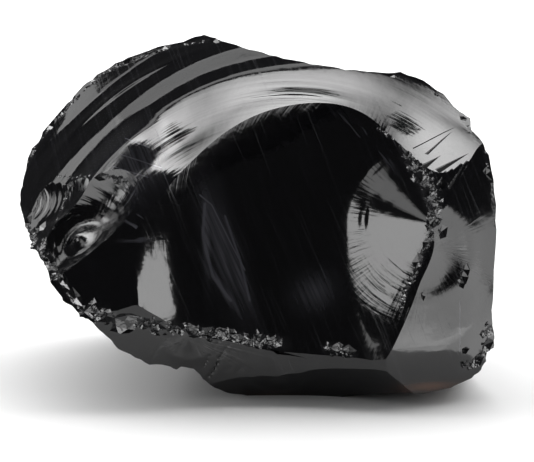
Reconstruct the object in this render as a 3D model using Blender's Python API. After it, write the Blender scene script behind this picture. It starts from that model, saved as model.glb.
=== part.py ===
"""Obsidian chunk: one piece of volcanic glass, shaped by the blows that broke it.

The stone is made the way it came apart. A domed blank with shock ripples is
trimmed to its outline, then every flake scar is struck off with a shallow
dish-shaped cutter, and the small crushed edges are scooped out last.

The front is laid out on a drawing plane that leans back by FRONT_TILT. On that
plane a point is (across, up, out) in millimetres; `out` points to the viewer.
"""
import math
import random

import bmesh
import bpy
from mathutils import Matrix, Vector
from mathutils.bvhtree import BVHTree

MM = 0.001

# Overall layout, in millimetres and degrees
FRONT_TILT = 15.0
SIGHT_DISTANCE = 556.0
FRONT_HEIGHT = 45.3
BLANK_DEPTH = 75.0
CUTTER_HEIGHT = 60.0
REST_BLOCK = 260.0

# The dome that forms the upper face
DOME_CENTRE = (8.0, -29.5)
DOME_LEVEL = 2.4
DOME_LEVEL_RADIUS = 56.0
DOME_RADIUS = 92.0
DOME_SLOPES = [
    (0, -4), (20, -12), (40, -24), (50, -32), (55, -38), (58, -46), (60, -41),
    (65.4, -42), (66.6, -58), (68.2, -56), (69.4, -47), (72.4, -47), (73.4, -60),
    (80.2, -60), (81.2, -43), (100, -43),
]
# Flattening of the dome near the main ridge: (bearing, amount, spread)
DOME_SQUASH = [(122, 0.09, 20), (165, -0.15, 16), (58, 0.10, 14)]
# Sides where the dome stands higher: (bearing, amount, spread)
DOME_SWELL = [(20, 0.22, 40), (180, 0.15, 14)]
SQUASH_FROM = 52.0
SQUASH_TO = 66.0
# The waves lie closer to the middle on the left: (bearing, amount, spread)
DOME_SHIFT = (130, 0.034, 18)
SHIFT_FROM = 55.0
SHIFT_TO = 64.0
# Places where the dome drops faster: (from, to, drop, bearing, spread)
DOME_STEPS = [(55, 63, 1.3, 114, 8), (51, 66, 3.2, 57, 13), (78, 86, 6.0, 150, 11)]
# The lower left lies flatter up to a sudden drop: (distance, degrees) and its bearings
SHELF_SLOPES = [
    (0, 0), (48, 0), (49, 21), (57, 20), (61.5, 12), (63, -44), (66.6, -44), (67.6, 0),
]
SHELF_FROM = 115
SHELF_TO = 129
SHELF_FADE = (170, 190)

# Outline of the front, clockwise from the left tip: (across, up, edge depth, draft), and how
# far the stretch to the next corner bows outwards, where it does.
# Depth None means that the edge lies on the dome.
OUTLINE = [
    (-59.75, -2, -10, 14), (-59.25, 1.75, None, 14), (-59, 5.5, None, 14),
    (-58.25, 8.5, None, 14), (-57.25, 15.5, None, 14), (-54.5, 17.5, None, 14),
    (-53.75, 20, None, 14), (-48, 27, None, 14, 2.9), (-20, 42.2, None, 12),
    (-15.5, 43.75, None, 12), (-13.25, 44.25, None, 12), (-10.5, 43.5, None, 12, -1.4),
    (31, 34.8, None, 8), (35.75, 35, None, 8, 1.6), (50.75, 25, None, 8),
    (53.25, 23.5, None, 8), (53.5, 20.5, None, 8, 0.6), (57.75, 14.25, -1, 8, 0.55),
    (60, -4.5, 4, 8), (59, -19.5, 3, 8), (58.5, -27, 0, 8), (59, -31.25, -2, 8),
    (58.75, -33.75, -3, 8),
    (57, -34.75, -3, 8), (56.75, -37, -4, 8), (55.25, -39, -6, 8),
    (52.75, -40.75, -8, 8), (47, -42.75, -11, 6), (40, -44, -12, 4),
    (35.75, -44, -11, 2), (20, -46, -6, 2), (3, -47, -3, 2), (-7, -45.25, -2, 4),
    (-10.5, -43.75, -1, 6), (-13.5, -41.5, 1, 6), (-15.75, -39, 2, 6),
    (-18.75, -38.5, 2.5, 6), (-20, -39.25, 2.5, 6), (-22.5, -38.25, 3, 8),
    (-26.75, -38, 3, 8), (-30.25, -36.25, 4, 8), (-34.5, -34, 5, 8),
    (-37.25, -30.75, 5, 10), (-38.75, -29.25, 4, 10), (-41.5, -26.25, 2, 10),
    (-43.5, -25.75, 1, 10), (-44.75, -23.75, 1, 10), (-47.75, -21.75, 0, 12),
    (-48.75, -20, 0, 12), (-50.5, -17.75, -1, 12), (-53, -13, -3, 14),
    (-54.25, -11, -4, 14), (-55.25, -9.5, -5, 14), (-57, -9.25, -6, 14),
    (-58, -7.5, -7, 14), (-59.5, -5.25, -8, 14),
]
OUTLINE_MIDDLE = (4.0, -6.0)
EDGE_STEP = 0.6
BOW_STEP = 5.5
LOWEST_EDGE = -34.0

# Rings and spokes of the dome
DOME_RINGS = [
    0, 14, 26, 36, 43, 48.5, 51, 54, 57, 59, 61.5, 63, 65, 66.8, 68.8, 71, 73,
    75.5, 79, 81, 85, DOME_RADIUS,
]
DOME_SPOKES = 84

# Flake scars, in the order they are struck.
#   at      where the blow landed (across, up, out)
#   facing  the way the scar looks
#   along   the way the flake ran from the blow
#   slopes  (distance from the blow, degrees), a plus sign rising out of the stone
#   cross   radius of the hollow across the run, on its lower and its upper side
#   squeeze how far a step across counts in that distance, lower and upper side
#   bend    radius of an extra even bend along the run, 0 for none
#   roll    (only some) an edge that rolls away sideways, left of `start` across the
#           run, coming in between `from` and `to` along it
#   offset  (only some) how far along the run the slopes are counted from
#   ripples (distance from the blow, height, width)
FRONT_SCARS = [
    {
        "name": "scar_centre", "at": (44, -3, 14.5), "facing": (0, 0, 1),
        "along": (-1, 0, 0),
        "slopes": [
            (0, -32), (18, -30), (24, -18), (32, -6), (40, 2), (50, 9), (60, 17),
            (66, 27), (71, 28), (74, 6), (78, -6), (90, -12),
        ],
        "cross": (75, 150), "squeeze": (0.4, 1), "bend": 0,
        "ripples": [(16, 0.3, 2.4), (74, 0.3, 1.5)],
        "rings": [
            0, 4, 8, 11, 13.5, 16, 18.5, 21, 25, 29, 34, 40, 46, 52, 57, 61, 65,
            68, 71, 73, 75.5, 79, 84, 90, 100,
        ],
        "spokes": 64,
    },
    {
        "name": "scar_right", "at": (44, -9, 14.3), "facing": (0.75, 0.03, 1),
        "along": (0, -1, 0),
        "slopes": [(0, 0), (15, -9), (30, -17)],
        "roll": {
            "start": 14, "slopes": [(0, 0), (8, 22), (18, 20), (26, 4)],
            "from": -5, "to": 13,
        },
        "cross": (200, 200), "squeeze": (0, 0), "bend": 0,
        "ripples": [(12, 0.25, 3), (26, 0.25, 4)],
        "rings": [0, 3, 6, 9, 12, 15, 18, 21, 25, 29, 34, 40, 48, 58], "spokes": 52,
    },
    {
        "name": "scar_left_low", "at": (-46.5, -7, 1.6), "facing": (-0.68, 0.74, 1),
        "along": (0.9, 0.5, 0),
        "slopes": [(0, -35), (4, -28), (8, -8), (12, 8), (18, 22), (24, 32)],
        "cross": (14, 14), "squeeze": (1, 1), "bend": 0,
        "ripples": [(7, 0.3, 1.3), (12, 0.3, 1.4)],
        "rings": [0, 2.5, 5, 7, 9, 11, 13, 15.5, 18, 21, 26], "spokes": 32,
    },
    {
        "name": "scar_left_high", "at": (-59.2, 1.7, -16.7),
        "facing": (-0.99, 0.69, 1), "along": (1, 0.2, 0.8),
        "slopes": [(0, -28), (5, -18), (10, 0), (16, 12), (24, 24)],
        "cross": (15, 15), "squeeze": (1, 1), "bend": 0,
        "ripples": [(7, 0.3, 1.3), (12, 0.3, 1.4)],
        "rings": [0, 2.5, 5, 7, 9, 11, 13, 15.5, 18, 21, 26], "spokes": 32,
    },
    {
        "name": "scar_band_left", "at": (-17, -31.5, 7.3), "facing": (0.05, -0.4, 1),
        "along": (0, -1, 0), "slopes": [(0, -4), (10, 0), (20, 5)],
        "cross": (200, 200), "squeeze": (1, 1), "bend": 0,
        "ripples": [(6, 0.15, 1.2)],
        "rings": [0, 4, 8, 13, 20, 30, 45, 60], "spokes": 32,
    },
    {
        "name": "scar_band_right", "at": (17, -37.3, 6.6), "facing": (-0.2, -0.4, 1),
        "along": (1, -0.2, 0), "slopes": [(0, 0), (60, 0)],
        "cross": (90, 90), "squeeze": (1, 1), "bend": 90,
        "ripples": [(12, 0.2, 2)],
        "rings": [0, 5, 10, 15, 21, 28, 38, 50], "spokes": 32,
    },
    {
        "name": "scar_underside", "at": (5, -41, 4), "facing": (0, -0.75, 0.66),
        "along": (0.1, -1, 0), "slopes": [(0, -8), (10, 0), (22, 6)],
        "cross": (160, 160), "squeeze": (1, 1), "bend": 0,
        "ripples": [(6, 0.2, 1.5)],
        "rings": [0, 4, 8, 14, 22, 34, 48, 62], "spokes": 32,
    },
]
BACK_SCARS = [
    {
        "name": "scar_back_left", "at": (-20, 0, -46), "facing": (-0.12, 0.32, -0.94),
        "along": (0, -1, 0), "slopes": [(0, 0), (90, 0)],
        "cross": (130, 130), "squeeze": (1, 1), "bend": 150,
        "ripples": [(14, 0.5, 4), (26, 0.5, 4), (40, 0.6, 5)],
        "rings": [0, 8, 14, 20, 26, 33, 40, 48, 58, 70, 90], "spokes": 40,
    },
    {
        "name": "scar_back_right", "at": (25, 2, -40), "facing": (0.25, 0.38, -0.9),
        "along": (0.2, -1, 0), "slopes": [(0, 0), (90, 0)],
        "cross": (130, 130), "squeeze": (1, 1), "bend": 150,
        "ripples": [(12, 0.5, 4), (24, 0.5, 4), (40, 0.6, 5)],
        "rings": [0, 6, 12, 18, 24, 32, 40, 48, 58, 70, 90], "spokes": 40,
    },
    {
        "name": "scar_back_foot", "at": (-5, -23, -50), "facing": (0, -0.43, -0.89),
        "along": (1, 0, 0), "slopes": [(0, 0), (90, 0)],
        "cross": (140, 140), "squeeze": (1, 1), "bend": 170,
        "ripples": [(12, 0.4, 3), (26, 0.4, 4)],
        "rings": [0, 8, 16, 24, 34, 46, 60, 80], "spokes": 28,
    },
    {
        "name": "scar_back_end_left", "at": (-54, 0, -38), "facing": (-0.75, 0.1, -0.62),
        "along": (0, 0, 1), "slopes": [(0, 0), (90, 0)],
        "cross": (120, 120), "squeeze": (1, 1), "bend": 120,
        "ripples": [(10, 0.4, 3), (22, 0.4, 4)],
        "rings": [0, 5, 10, 16, 22, 30, 40, 55, 75], "spokes": 36,
    },
    {
        "name": "scar_back_end_right", "at": (54, -8, -22), "facing": (0.85, 0.1, -0.5),
        "along": (0, 0, 1), "slopes": [(0, 0), (90, 0)],
        "cross": (120, 120), "squeeze": (1, 1), "bend": 120,
        "ripples": [(10, 0.4, 3), (22, 0.4, 4)],
        "rings": [0, 5, 10, 16, 22, 30, 40, 55, 75], "spokes": 36,
    },
]
# Scars round the sides, each starting just behind the outline and running back:
# (at, facing, radius across the run)
SIDE_SCARS = {
    "scar_end_right": ((60.4, -8, 3), (0.93, 0.05, -0.37), 160),
    "scar_top_right": ((26, 37.4, -8), (0.18, 0.87, -0.45), 70),
    "scar_top_middle": ((-25.3, 43.6, -28.5), (-0.25, 0.85, -0.46), 160),
    "scar_top_left": ((-49.8, 29.8, -29.5), (-0.66, 0.58, -0.48), 160),
    "scar_low_left": ((-49.4, -21, -2), (-0.7, -0.62, -0.35), 160),
    "scar_low_middle": ((-25, -39.4, 1), (-0.3, -0.85, -0.43), 160),
}
SIDE_SLOPES = [(0, 0), (14, 9), (24, 16), (40, 28), (64, 35)]
SIDE_OFFSET = 14.0
SIDE_RINGS = [0, 7, 13, 19, 26, 36, 48, 64]
SIDE_SPOKES = 24
SIDE_RIPPLES = [(13, 0.35, 3), (25, 0.35, 4)]

SLOPE_STEP = 0.25

# Small chips on the front: (across, up, radius, depth, stretch, bearing of the stretch)
FRONT_CHIPS = [
    # crushed line under the central scar
    (-41, -25, 2.6, 1.0, 1.3, 150), (-37.5, -26.5, 2.8, 1.1, 1.4, 170),
    (-33, -28, 3.4, 1.3, 1.5, 175), (-28.5, -28.3, 2.4, 0.9, 1.2, 160),
    (-24.5, -28.2, 2.6, 0.9, 1.3, 150), (-20.5, -29.2, 2.2, 0.8, 1.3, 165),
    (-16.5, -29.5, 2.6, 1.0, 1.2, 140), (-12.5, -30.3, 2.8, 1.1, 1.3, 160),
    (-8.5, -31, 2.4, 0.9, 1.2, 150), (-4, -32, 2.3, 0.9, 1.4, 170),
    (1.5, -31.8, 2.2, 0.9, 1.2, 60), (5, -32.4, 2.2, 0.9, 1.2, 70),
    (19.6, -34.6, 2.2, 1.0, 1.2, 40), (22.8, -35, 2.4, 1.1, 1.2, 120),
    # crushed zone where the central blow landed
    (36.5, 14.8, 2.2, 0.8, 1.5, 130), (38.8, 11.6, 2.6, 1.1, 1.4, 125),
    (41.2, 8.4, 2.8, 1.3, 1.3, 110), (43, 4.8, 2.8, 1.4, 1.3, 100),
    (44.6, 1.2, 2.6, 1.3, 1.2, 95), (43.6, -2.8, 2.6, 1.2, 1.2, 80),
    (46.4, 6.6, 2.4, 1.0, 1.2, 60), (46.4, -5, 2.0, 0.8, 1.4, 60),
    (42.6, -7.6, 2.0, 0.8, 1.5, 60), (40.2, -12.5, 2.4, 0.9, 1.6, 65),
    # two spikes running up and right from the crushed zone
    (44.2, 17.6, 2.6, 0.8, 2.6, 32), (49.2, 10.2, 2.6, 0.9, 2.4, 45),
    # pit and marks of the right facet
    (52, -16, 1.9, 1.5, 1.8, 115), (41.4, -20.8, 0.9, 0.4, 2.0, 100),
    # crushed corner at the lower right
    (58.2, -29.6, 2.4, 1.0, 1.3, 80), (57.4, -33.6, 2.6, 1.2, 1.2, 60),
    (55, -37, 2.8, 1.2, 1.2, 50), (52, -34.6, 1.8, 0.6, 1.2, 40),
    # crushed left tip and the edge below it
    (-57.4, -2.4, 2.2, 0.9, 1.2, 90), (-55.8, -5.0, 2.2, 0.9, 1.2, 60),
    (-53.6, -3.8, 2.0, 0.8, 1.2, 30), (-53.4, -8, 2.6, 1.2, 1.3, 45),
    (-51.4, -12.2, 2.4, 0.9, 1.8, 125), (-48.6, -16.6, 2.2, 0.8, 2.0, 125),
    (-45.4, -21.2, 2.2, 0.8, 1.8, 130),
    # broken rims between the two left scars
    (-46.6, 7, 1.8, 0.7, 1.3, 0), (-43.2, 8.4, 2.0, 0.8, 1.4, 10),
    (-39, 8.6, 2.0, 0.8, 1.5, 0), (-35, 7.8, 1.6, 0.6, 1.4, 340),
    # nicks along the upper outline
    (-56, 14.6, 2.6, 0.7, 1.3, 60), (-51.4, 21.8, 2.8, 0.8, 1.5, 55),
    (-46.4, 28.2, 2.6, 0.8, 1.4, 48), (-40.6, 33.2, 2.8, 0.8, 1.5, 42),
    (-32.4, 37.6, 2.8, 0.8, 1.5, 30), (-22.4, 41.2, 2.4, 0.7, 1.4, 20),
    (-9.6, 42.8, 2.4, 0.8, 1.3, 340), (33.4, 34.2, 2.2, 0.7, 1.4, 0),
    (51.6, 23.4, 2.2, 0.7, 1.3, 320), (57.8, 9.6, 2.0, 0.7, 1.8, 280),
]
# Chips of the back, laid out the same way but met from behind
BACK_CHIPS = [
    (-44, 22, 4.0, 1.2, 1.4, 60), (-33, 29, 4.2, 1.3, 1.3, 40),
    (-50, 4, 3.6, 1.1, 1.4, 80), (-44, -12, 3.8, 1.2, 1.3, 120),
    (2, 10, 3.4, 1.0, 1.5, 95), (4, -8, 3.2, 1.0, 1.4, 80),
]
CHIP_DETAIL = 2
CHIP_ROUGHNESS = 0.10
CHIP_CLEARANCE = 1.02
CHIP_SEED = 7
RIPPLE_WANDER = 0.012

STONE_NAME = "obsidian_chunk"
GLASS_COLOUR = (0.006, 0.006, 0.007, 1.0)
GLASS_ROUGHNESS = 0.12
GLASS_IOR = 1.5


def clear_scene():
    for item in list(bpy.data.objects):
        bpy.data.objects.remove(item, do_unlink=True)


def new_collection(name):
    collection = bpy.data.collections.new(name)
    bpy.context.scene.collection.children.link(collection)
    return collection


def between(table, value):
    """Straight-line reading of a table of (position, amount)."""
    if value <= table[0][0]:
        return table[0][1]
    for (low, start), (high, end) in zip(table, table[1:]):
        if value <= high:
            return start + (end - start) * (value - low) / (high - low)
    return table[-1][1]


def run_heights(slopes, length):
    """Heights at even steps along a run whose steepness is given in degrees."""
    heights = [0.0]
    for index in range(int(length / SLOPE_STEP) + 2):
        steepness = between(slopes, (index + 0.5) * SLOPE_STEP)
        heights.append(heights[-1] + SLOPE_STEP * math.tan(math.radians(steepness)))
    return heights


def read_run(heights, distance):
    place = distance / SLOPE_STEP
    index = min(int(place), len(heights) - 2)
    share = place - index
    return heights[index] * (1 - share) + heights[index + 1] * share


def ease(value, start, end):
    share = min(max((value - start) / (end - start), 0.0), 1.0)
    return share * share * (3 - 2 * share)


def hump(value, middle, spread):
    return math.exp(-(((value - middle) / spread) ** 2))


def bearing_gap(bearing, middle):
    return (bearing - middle + 180) % 360 - 180


def view_to_world():
    """Matrix from the leaning front drawing, in millimetres, to the world."""
    tilt = math.radians(FRONT_TILT)
    return Matrix((
        (MM, 0, 0, 0),
        (0, MM * math.sin(tilt), -MM * math.cos(tilt), 0),
        (0, MM * math.cos(tilt), MM * math.sin(tilt), MM * FRONT_HEIGHT),
        (0, 0, 0, 1),
    ))


def sighted(across, up, out):
    """Move a point to its depth along the line of sight, so it keeps its place."""
    scale = (SIGHT_DISTANCE - out) / SIGHT_DISTANCE
    return Vector((across * scale, up * scale, out))


def placed(spot, facing, along):
    """Matrix with Z along `facing` and X as near to `along` as that allows."""
    z_axis = Vector(facing).normalized()
    run = Vector(along)
    x_axis = (run - z_axis * run.dot(z_axis)).normalized()
    y_axis = z_axis.cross(x_axis)
    turn = Matrix((x_axis, y_axis, z_axis)).transposed().to_4x4()
    return Matrix.Translation(spot) @ turn


DOME_HEIGHTS = run_heights(DOME_SLOPES, 1.3 * DOME_RADIUS)
SHELF_HEIGHTS = run_heights(SHELF_SLOPES, 1.3 * DOME_RADIUS)


def dome_details(radius, bearing):
    """The shelf and the steps that only some sides of the dome have."""
    turned = ease(bearing % 360, SHELF_FROM, SHELF_TO)
    turned *= 1 - ease(bearing % 360, *SHELF_FADE)
    extra = read_run(SHELF_HEIGHTS, radius) * turned
    for start, end, drop, middle, spread in DOME_STEPS:
        near = hump(bearing_gap(bearing, middle), 0, spread)
        extra -= drop * ease(radius, start, end) * near
    return extra


def dome_height(x, y):
    """Height of the rippled dome at a point beside its axis."""
    radius = math.hypot(x, y)
    bearing = math.degrees(math.atan2(y, x))
    extra = dome_details(radius, bearing)
    middle, amount, spread = DOME_SHIFT
    shift = amount * hump(bearing_gap(bearing, middle), 0, spread)
    radius *= 1 + shift * ease(radius, SHIFT_FROM, SHIFT_TO)
    squash = sum(a * hump(bearing_gap(bearing, b), 0, s) for b, a, s in DOME_SQUASH)
    swell = sum(a * hump(bearing_gap(bearing, b), 0, s) for b, a, s in DOME_SWELL)
    fade = ease(-radius, -SQUASH_TO, -SQUASH_FROM)
    radius *= (1 - swell) / (1 - squash * fade)
    turn = math.radians(bearing)
    radius *= 1 + 0.008 * math.sin(3 * turn + 0.7) + 0.004 * math.sin(7 * turn + 2)
    level = DOME_LEVEL - read_run(DOME_HEIGHTS, DOME_LEVEL_RADIUS)
    return read_run(DOME_HEIGHTS, radius) + level + extra


def dome_depth(across, up):
    return dome_height(across - DOME_CENTRE[0], up - DOME_CENTRE[1])


def spun_skin(rings, spokes):
    """A flat disc made by spinning one row of points round the Z axis."""
    skin = bmesh.new()
    points = [skin.verts.new((radius, 0, 0)) for radius in rings]
    lines = [skin.edges.new(pair) for pair in zip(points, points[1:])]
    bmesh.ops.spin(
        skin, geom=points + lines, cent=(0, 0, 0), axis=(0, 0, 1),
        angle=math.tau, steps=spokes, use_merge=True, use_duplicate=False,
    )
    bmesh.ops.remove_doubles(skin, verts=skin.verts[:], dist=0.001)
    return skin


def closed_from_skin(skin, far):
    """Pull the rim of a skin straight to the height `far` and close it there."""
    rim = [edge for edge in skin.edges if edge.is_boundary]
    wall = bmesh.ops.extrude_edge_only(skin, edges=rim)["geom"]
    for item in wall:
        if isinstance(item, bmesh.types.BMVert):
            item.co.z = far
    cap = [edge for edge in skin.edges if edge.is_boundary]
    bmesh.ops.edgeloop_fill(skin, edges=cap)
    bmesh.ops.triangulate(skin, faces=skin.faces[:])
    bmesh.ops.recalc_face_normals(skin, faces=skin.faces[:])
    return skin


def object_from(solid, name, matrix, collection):
    """Turn a bmesh solid, in drawing millimetres, into a world object in metres."""
    solid.transform(view_to_world() @ matrix)
    mesh = bpy.data.meshes.new(name)
    solid.to_mesh(mesh)
    solid.free()
    item = bpy.data.objects.new(name, mesh)
    collection.objects.link(item)
    return item


def make_dome(collection):
    skin = spun_skin(DOME_RINGS, DOME_SPOKES)
    for point in skin.verts:
        point.co.z = dome_height(point.co.x, point.co.y)
    solid = closed_from_skin(skin, -BLANK_DEPTH)
    middle = Matrix.Translation((DOME_CENTRE[0], DOME_CENTRE[1], 0))
    return object_from(solid, STONE_NAME, middle, collection)


def bowed(rows):
    """The outline with its bowed stretches filled in."""
    full = []
    for row, after in zip(rows, rows[1:] + rows[:1]):
        x, y, depth, draft, *bow = row
        full.append((x, y, depth, draft))
        dx, dy = after[0] - x, after[1] - y
        length = math.hypot(dx, dy)
        count = max(2, round(length / BOW_STEP)) if bow else 1
        for step in range(1, count):
            share = step / count
            out = 4 * bow[0] * share * (1 - share) / length
            level = None
            if depth is not None and after[2] is not None:
                level = depth + share * (after[2] - depth)
            full.append((x + share * dx - out * dy, y + share * dy + out * dx, level,
                         draft + share * (after[3] - draft)))
    return full


def edge_point(across, up, depth):
    """The outline point at its own depth on the line of sight."""
    if depth is not None:
        return sighted(across, up, depth - EDGE_STEP)
    spot = sighted(across, up, dome_depth(across, up))
    for _ in range(3):
        spot = sighted(across, up, dome_depth(spot.x, spot.y))
    return sighted(across, up, max(spot.z, LOWEST_EDGE) - EDGE_STEP)


def pulled_in(spot, amount, depth):
    """A point moved towards the middle of the outline, at another depth."""
    middle = Vector((*OUTLINE_MIDDLE, 0))
    flat = Vector((spot.x, spot.y, 0))
    flat -= (flat - middle).normalized() * amount
    return Vector((flat.x, flat.y, depth))


def pulled_out(solid, face, spots):
    """Extrude a face and move the corners of the new one to `spots`."""
    made = bmesh.ops.extrude_face_region(solid, geom=[face])["geom"]
    new_face = next(item for item in made if isinstance(item, bmesh.types.BMFace))
    for point, spot in zip(new_face.verts, spots):
        point.co = spot
    return new_face


def make_outline(collection):
    """A block with the outline of the front, its sides drawn in towards the back."""
    solid = bmesh.new()
    rows = bowed(OUTLINE)
    spots = [edge_point(across, up, depth) for across, up, depth, _ in rows]
    tops = [Vector((*spot.xy, CUTTER_HEIGHT)) for spot in spots]
    bottoms = [pulled_in(spot, row[3], -BLANK_DEPTH) for spot, row in zip(spots, rows)]
    face = solid.faces.new([solid.verts.new(spot) for spot in tops])
    middle = pulled_out(solid, face, spots)
    pulled_out(solid, middle, bottoms)
    bmesh.ops.delete(solid, geom=[middle], context="FACES_ONLY")
    bmesh.ops.triangulate(solid, faces=solid.faces[:])
    bmesh.ops.recalc_face_normals(solid, faces=solid.faces[:])
    return object_from(solid, "outline", Matrix(), collection)


def roll_depth(roll, x, y):
    """How far the rolled side of a scar falls below its plain surface."""
    reach = max(roll["start"] - y, 0.0)
    heights = run_heights(roll["slopes"], reach)
    return read_run(heights, reach) * ease(x, roll["from"], roll["to"])


def scar_height(scar, heights, x, y):
    """Height of a scar above its own plane; lower numbers cut deeper."""
    side = 0 if y > 0 else 1
    offset = scar.get("offset", 0)
    run = math.hypot(x - offset, scar["squeeze"][side] * y)
    height = read_run(heights, run) - read_run(heights, offset)
    height += y * y / (2 * scar["cross"][side])
    if scar["bend"]:
        height += x * x / (2 * scar["bend"])
    if "roll" in scar:
        height -= roll_depth(scar["roll"], x, y)
    turn = math.atan2(y, x)
    distance = math.hypot(x, y)
    for index, (middle, rise, width) in enumerate(scar["ripples"]):
        wander = math.sin(3 * turn + 1.7 * index) + 0.5 * math.sin(5 * turn + 2.9 * index)
        height += rise * hump(distance, middle * (1 + RIPPLE_WANDER * wander), width)
    return height


def make_scar(scar, collection):
    skin = spun_skin(scar["rings"], scar["spokes"])
    heights = run_heights(scar["slopes"], 1.1 * scar["rings"][-1])
    for point in skin.verts:
        point.co.z = scar_height(scar, heights, point.co.x, point.co.y)
    solid = closed_from_skin(skin, CUTTER_HEIGHT)
    matrix = placed(sighted(*scar["at"]), scar["facing"], scar["along"])
    return object_from(solid, scar["name"], matrix, collection)


def side_scar(name):
    """The settings of one side scar; they differ only in where they are struck."""
    at, facing, cross = SIDE_SCARS[name]
    return {
        "name": name, "at": at, "facing": facing, "along": (0, 0, -1),
        "slopes": SIDE_SLOPES, "cross": (cross, cross),
        "squeeze": (0, 0), "bend": 0, "offset": SIDE_OFFSET, "ripples": SIDE_RIPPLES,
        "rings": SIDE_RINGS, "spokes": SIDE_SPOKES,
    }


def make_rest_block(collection):
    """A block under the floor level, to leave a flat face to rest on."""
    size = REST_BLOCK * MM
    bpy.ops.mesh.primitive_cube_add(size=size, location=(0, 0, -size / 2))
    block = bpy.context.object
    block.name = "rest_block"
    for other in block.users_collection:
        other.objects.unlink(block)
    collection.objects.link(block)
    return block


def carve(stone, cutter, operation="DIFFERENCE"):
    cutter.hide_render = True
    cutter.display_type = "WIRE"
    boolean = stone.modifiers.new(cutter.name, "BOOLEAN")
    boolean.operation = operation
    boolean.solver = "EXACT"
    boolean.object = cutter


def front_hit(surface, across, up, side):
    """Where the line of sight meets the stone, and the way the stone faces there."""
    start = view_to_world() @ sighted(across, up, side * BLANK_DEPTH)
    finish = view_to_world() @ sighted(across, up, -side * BLANK_DEPTH)
    spot, normal, _, _ = surface.ray_cast(start, (finish - start).normalized())
    return spot, normal


def chip_ball(spot, normal, chip, dice):
    """One scoop: a roughened, stretched ball that dips `depth` into the stone."""
    _, _, radius, depth, stretch, bearing = chip
    turn = math.radians(bearing)
    run = view_to_world().to_3x3() @ Vector((math.cos(turn), math.sin(turn), 0))
    centre = spot + normal * (radius - depth) * MM
    shape = Matrix.Diagonal((radius * stretch * MM, radius * MM, radius * MM, 1))
    ball = bmesh.new()
    bmesh.ops.create_icosphere(ball, subdivisions=CHIP_DETAIL, radius=1)
    for point in ball.verts:
        point.co *= 1 + dice.uniform(-CHIP_ROUGHNESS, CHIP_ROUGHNESS)
    ball.transform(placed(centre, normal, run) @ shape)
    return ball, centre, radius * stretch * MM


def free_batch(batches, centre, reach):
    """The first batch in which no other ball comes near this one."""
    for batch in batches:
        gaps = [(centre - c).length > CHIP_CLEARANCE * (reach + r) for _, c, r in batch]
        if all(gaps):
            return batch
    batches.append([])
    return batches[-1]


def make_chips(stone, collection):
    """Cutters that hold the scoops, sorted so that those of one never touch."""
    surface = BVHTree.FromObject(stone, bpy.context.evaluated_depsgraph_get())
    dice = random.Random(CHIP_SEED)
    batches = []
    for chips, side in ((FRONT_CHIPS, 1), (BACK_CHIPS, -1)):
        for chip in chips:
            spot, normal = front_hit(surface, chip[0], chip[1], side)
            if spot is None:
                continue
            ball, centre, reach = chip_ball(spot, normal, chip, dice)
            free_batch(batches, centre, reach).append((ball, centre, reach))
    return [join_balls(batch, index, collection) for index, batch in enumerate(batches)]


def join_balls(batch, index, collection):
    mesh = bpy.data.meshes.new(f"chips_{index}")
    joined = bmesh.new()
    for ball, _, _ in batch:
        ball.to_mesh(mesh)
        joined.from_mesh(mesh)
        ball.free()
    joined.to_mesh(mesh)
    joined.free()
    item = bpy.data.objects.new(mesh.name, mesh)
    collection.objects.link(item)
    return item


def glass_material():
    material = bpy.data.materials.new("black_glass")
    material.use_nodes = True
    shader = material.node_tree.nodes["Principled BSDF"]
    shader.inputs["Base Color"].default_value = GLASS_COLOUR
    shader.inputs["Roughness"].default_value = GLASS_ROUGHNESS
    shader.inputs["IOR"].default_value = GLASS_IOR
    return material


def main():
    clear_scene()
    parts = new_collection(STONE_NAME)
    cutters = new_collection("cutters")
    stone = make_dome(parts)
    stone.data.materials.append(glass_material())
    carve(stone, make_outline(cutters), "INTERSECT")
    side_scars = [side_scar(name) for name in SIDE_SCARS]
    for scar in FRONT_SCARS + BACK_SCARS + side_scars:
        carve(stone, make_scar(scar, cutters))
    for cutter in make_chips(stone, cutters):
        carve(stone, cutter)
    carve(stone, make_rest_block(cutters))


main()
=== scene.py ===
# %% [markdown]
# # A chunk of volcanic glass
# The stone was never carved: it was broken out of a lava flow, and every face on it is the
# scar of one blow. It could be sculpted, or displaced from a ball. Here it is knapped, as the
# real one was: a rippled blank is trimmed to its outline, and dish-shaped cutters strike the
# flakes off one after another. Cutters leave the crisp edges that a sculpted ball never has.

# %% Start: load the frame and clear the view
import math
import random

import bpy
import numpy as np
from mathutils import Matrix, Vector
from mathutils.bvhtree import BVHTree


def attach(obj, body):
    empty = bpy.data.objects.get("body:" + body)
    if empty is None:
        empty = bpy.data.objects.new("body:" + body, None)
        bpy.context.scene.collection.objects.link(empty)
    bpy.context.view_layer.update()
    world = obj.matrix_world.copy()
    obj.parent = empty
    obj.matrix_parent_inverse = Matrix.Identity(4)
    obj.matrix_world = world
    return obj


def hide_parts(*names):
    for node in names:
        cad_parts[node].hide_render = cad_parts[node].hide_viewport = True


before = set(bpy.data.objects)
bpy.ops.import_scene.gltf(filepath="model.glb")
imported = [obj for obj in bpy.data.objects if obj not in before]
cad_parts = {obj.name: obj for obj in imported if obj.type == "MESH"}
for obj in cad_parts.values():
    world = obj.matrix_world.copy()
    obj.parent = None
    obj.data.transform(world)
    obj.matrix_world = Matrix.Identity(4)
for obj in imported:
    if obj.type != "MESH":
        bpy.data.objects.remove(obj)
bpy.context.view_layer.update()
bpy.ops.object.select_all(action="DESELECT")
print("nodes in the frame:", list(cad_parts))

# %% [markdown]
# ## The drawing plane
# Like a real draughtsman's sheet, the front of the stone is drawn on a plane that leans back
# until it faces the viewer. A point there is (across, up, out) in millimetres. Every blow,
# chip and mark below is placed on this sheet, so that all of them share one ruler.

# %% The drawing plane and the line of sight
MM = 0.001
FRONT_TILT = math.radians(15)
FRONT_HEIGHT = 45.3
SIGHT_DISTANCE = 556.0

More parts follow.
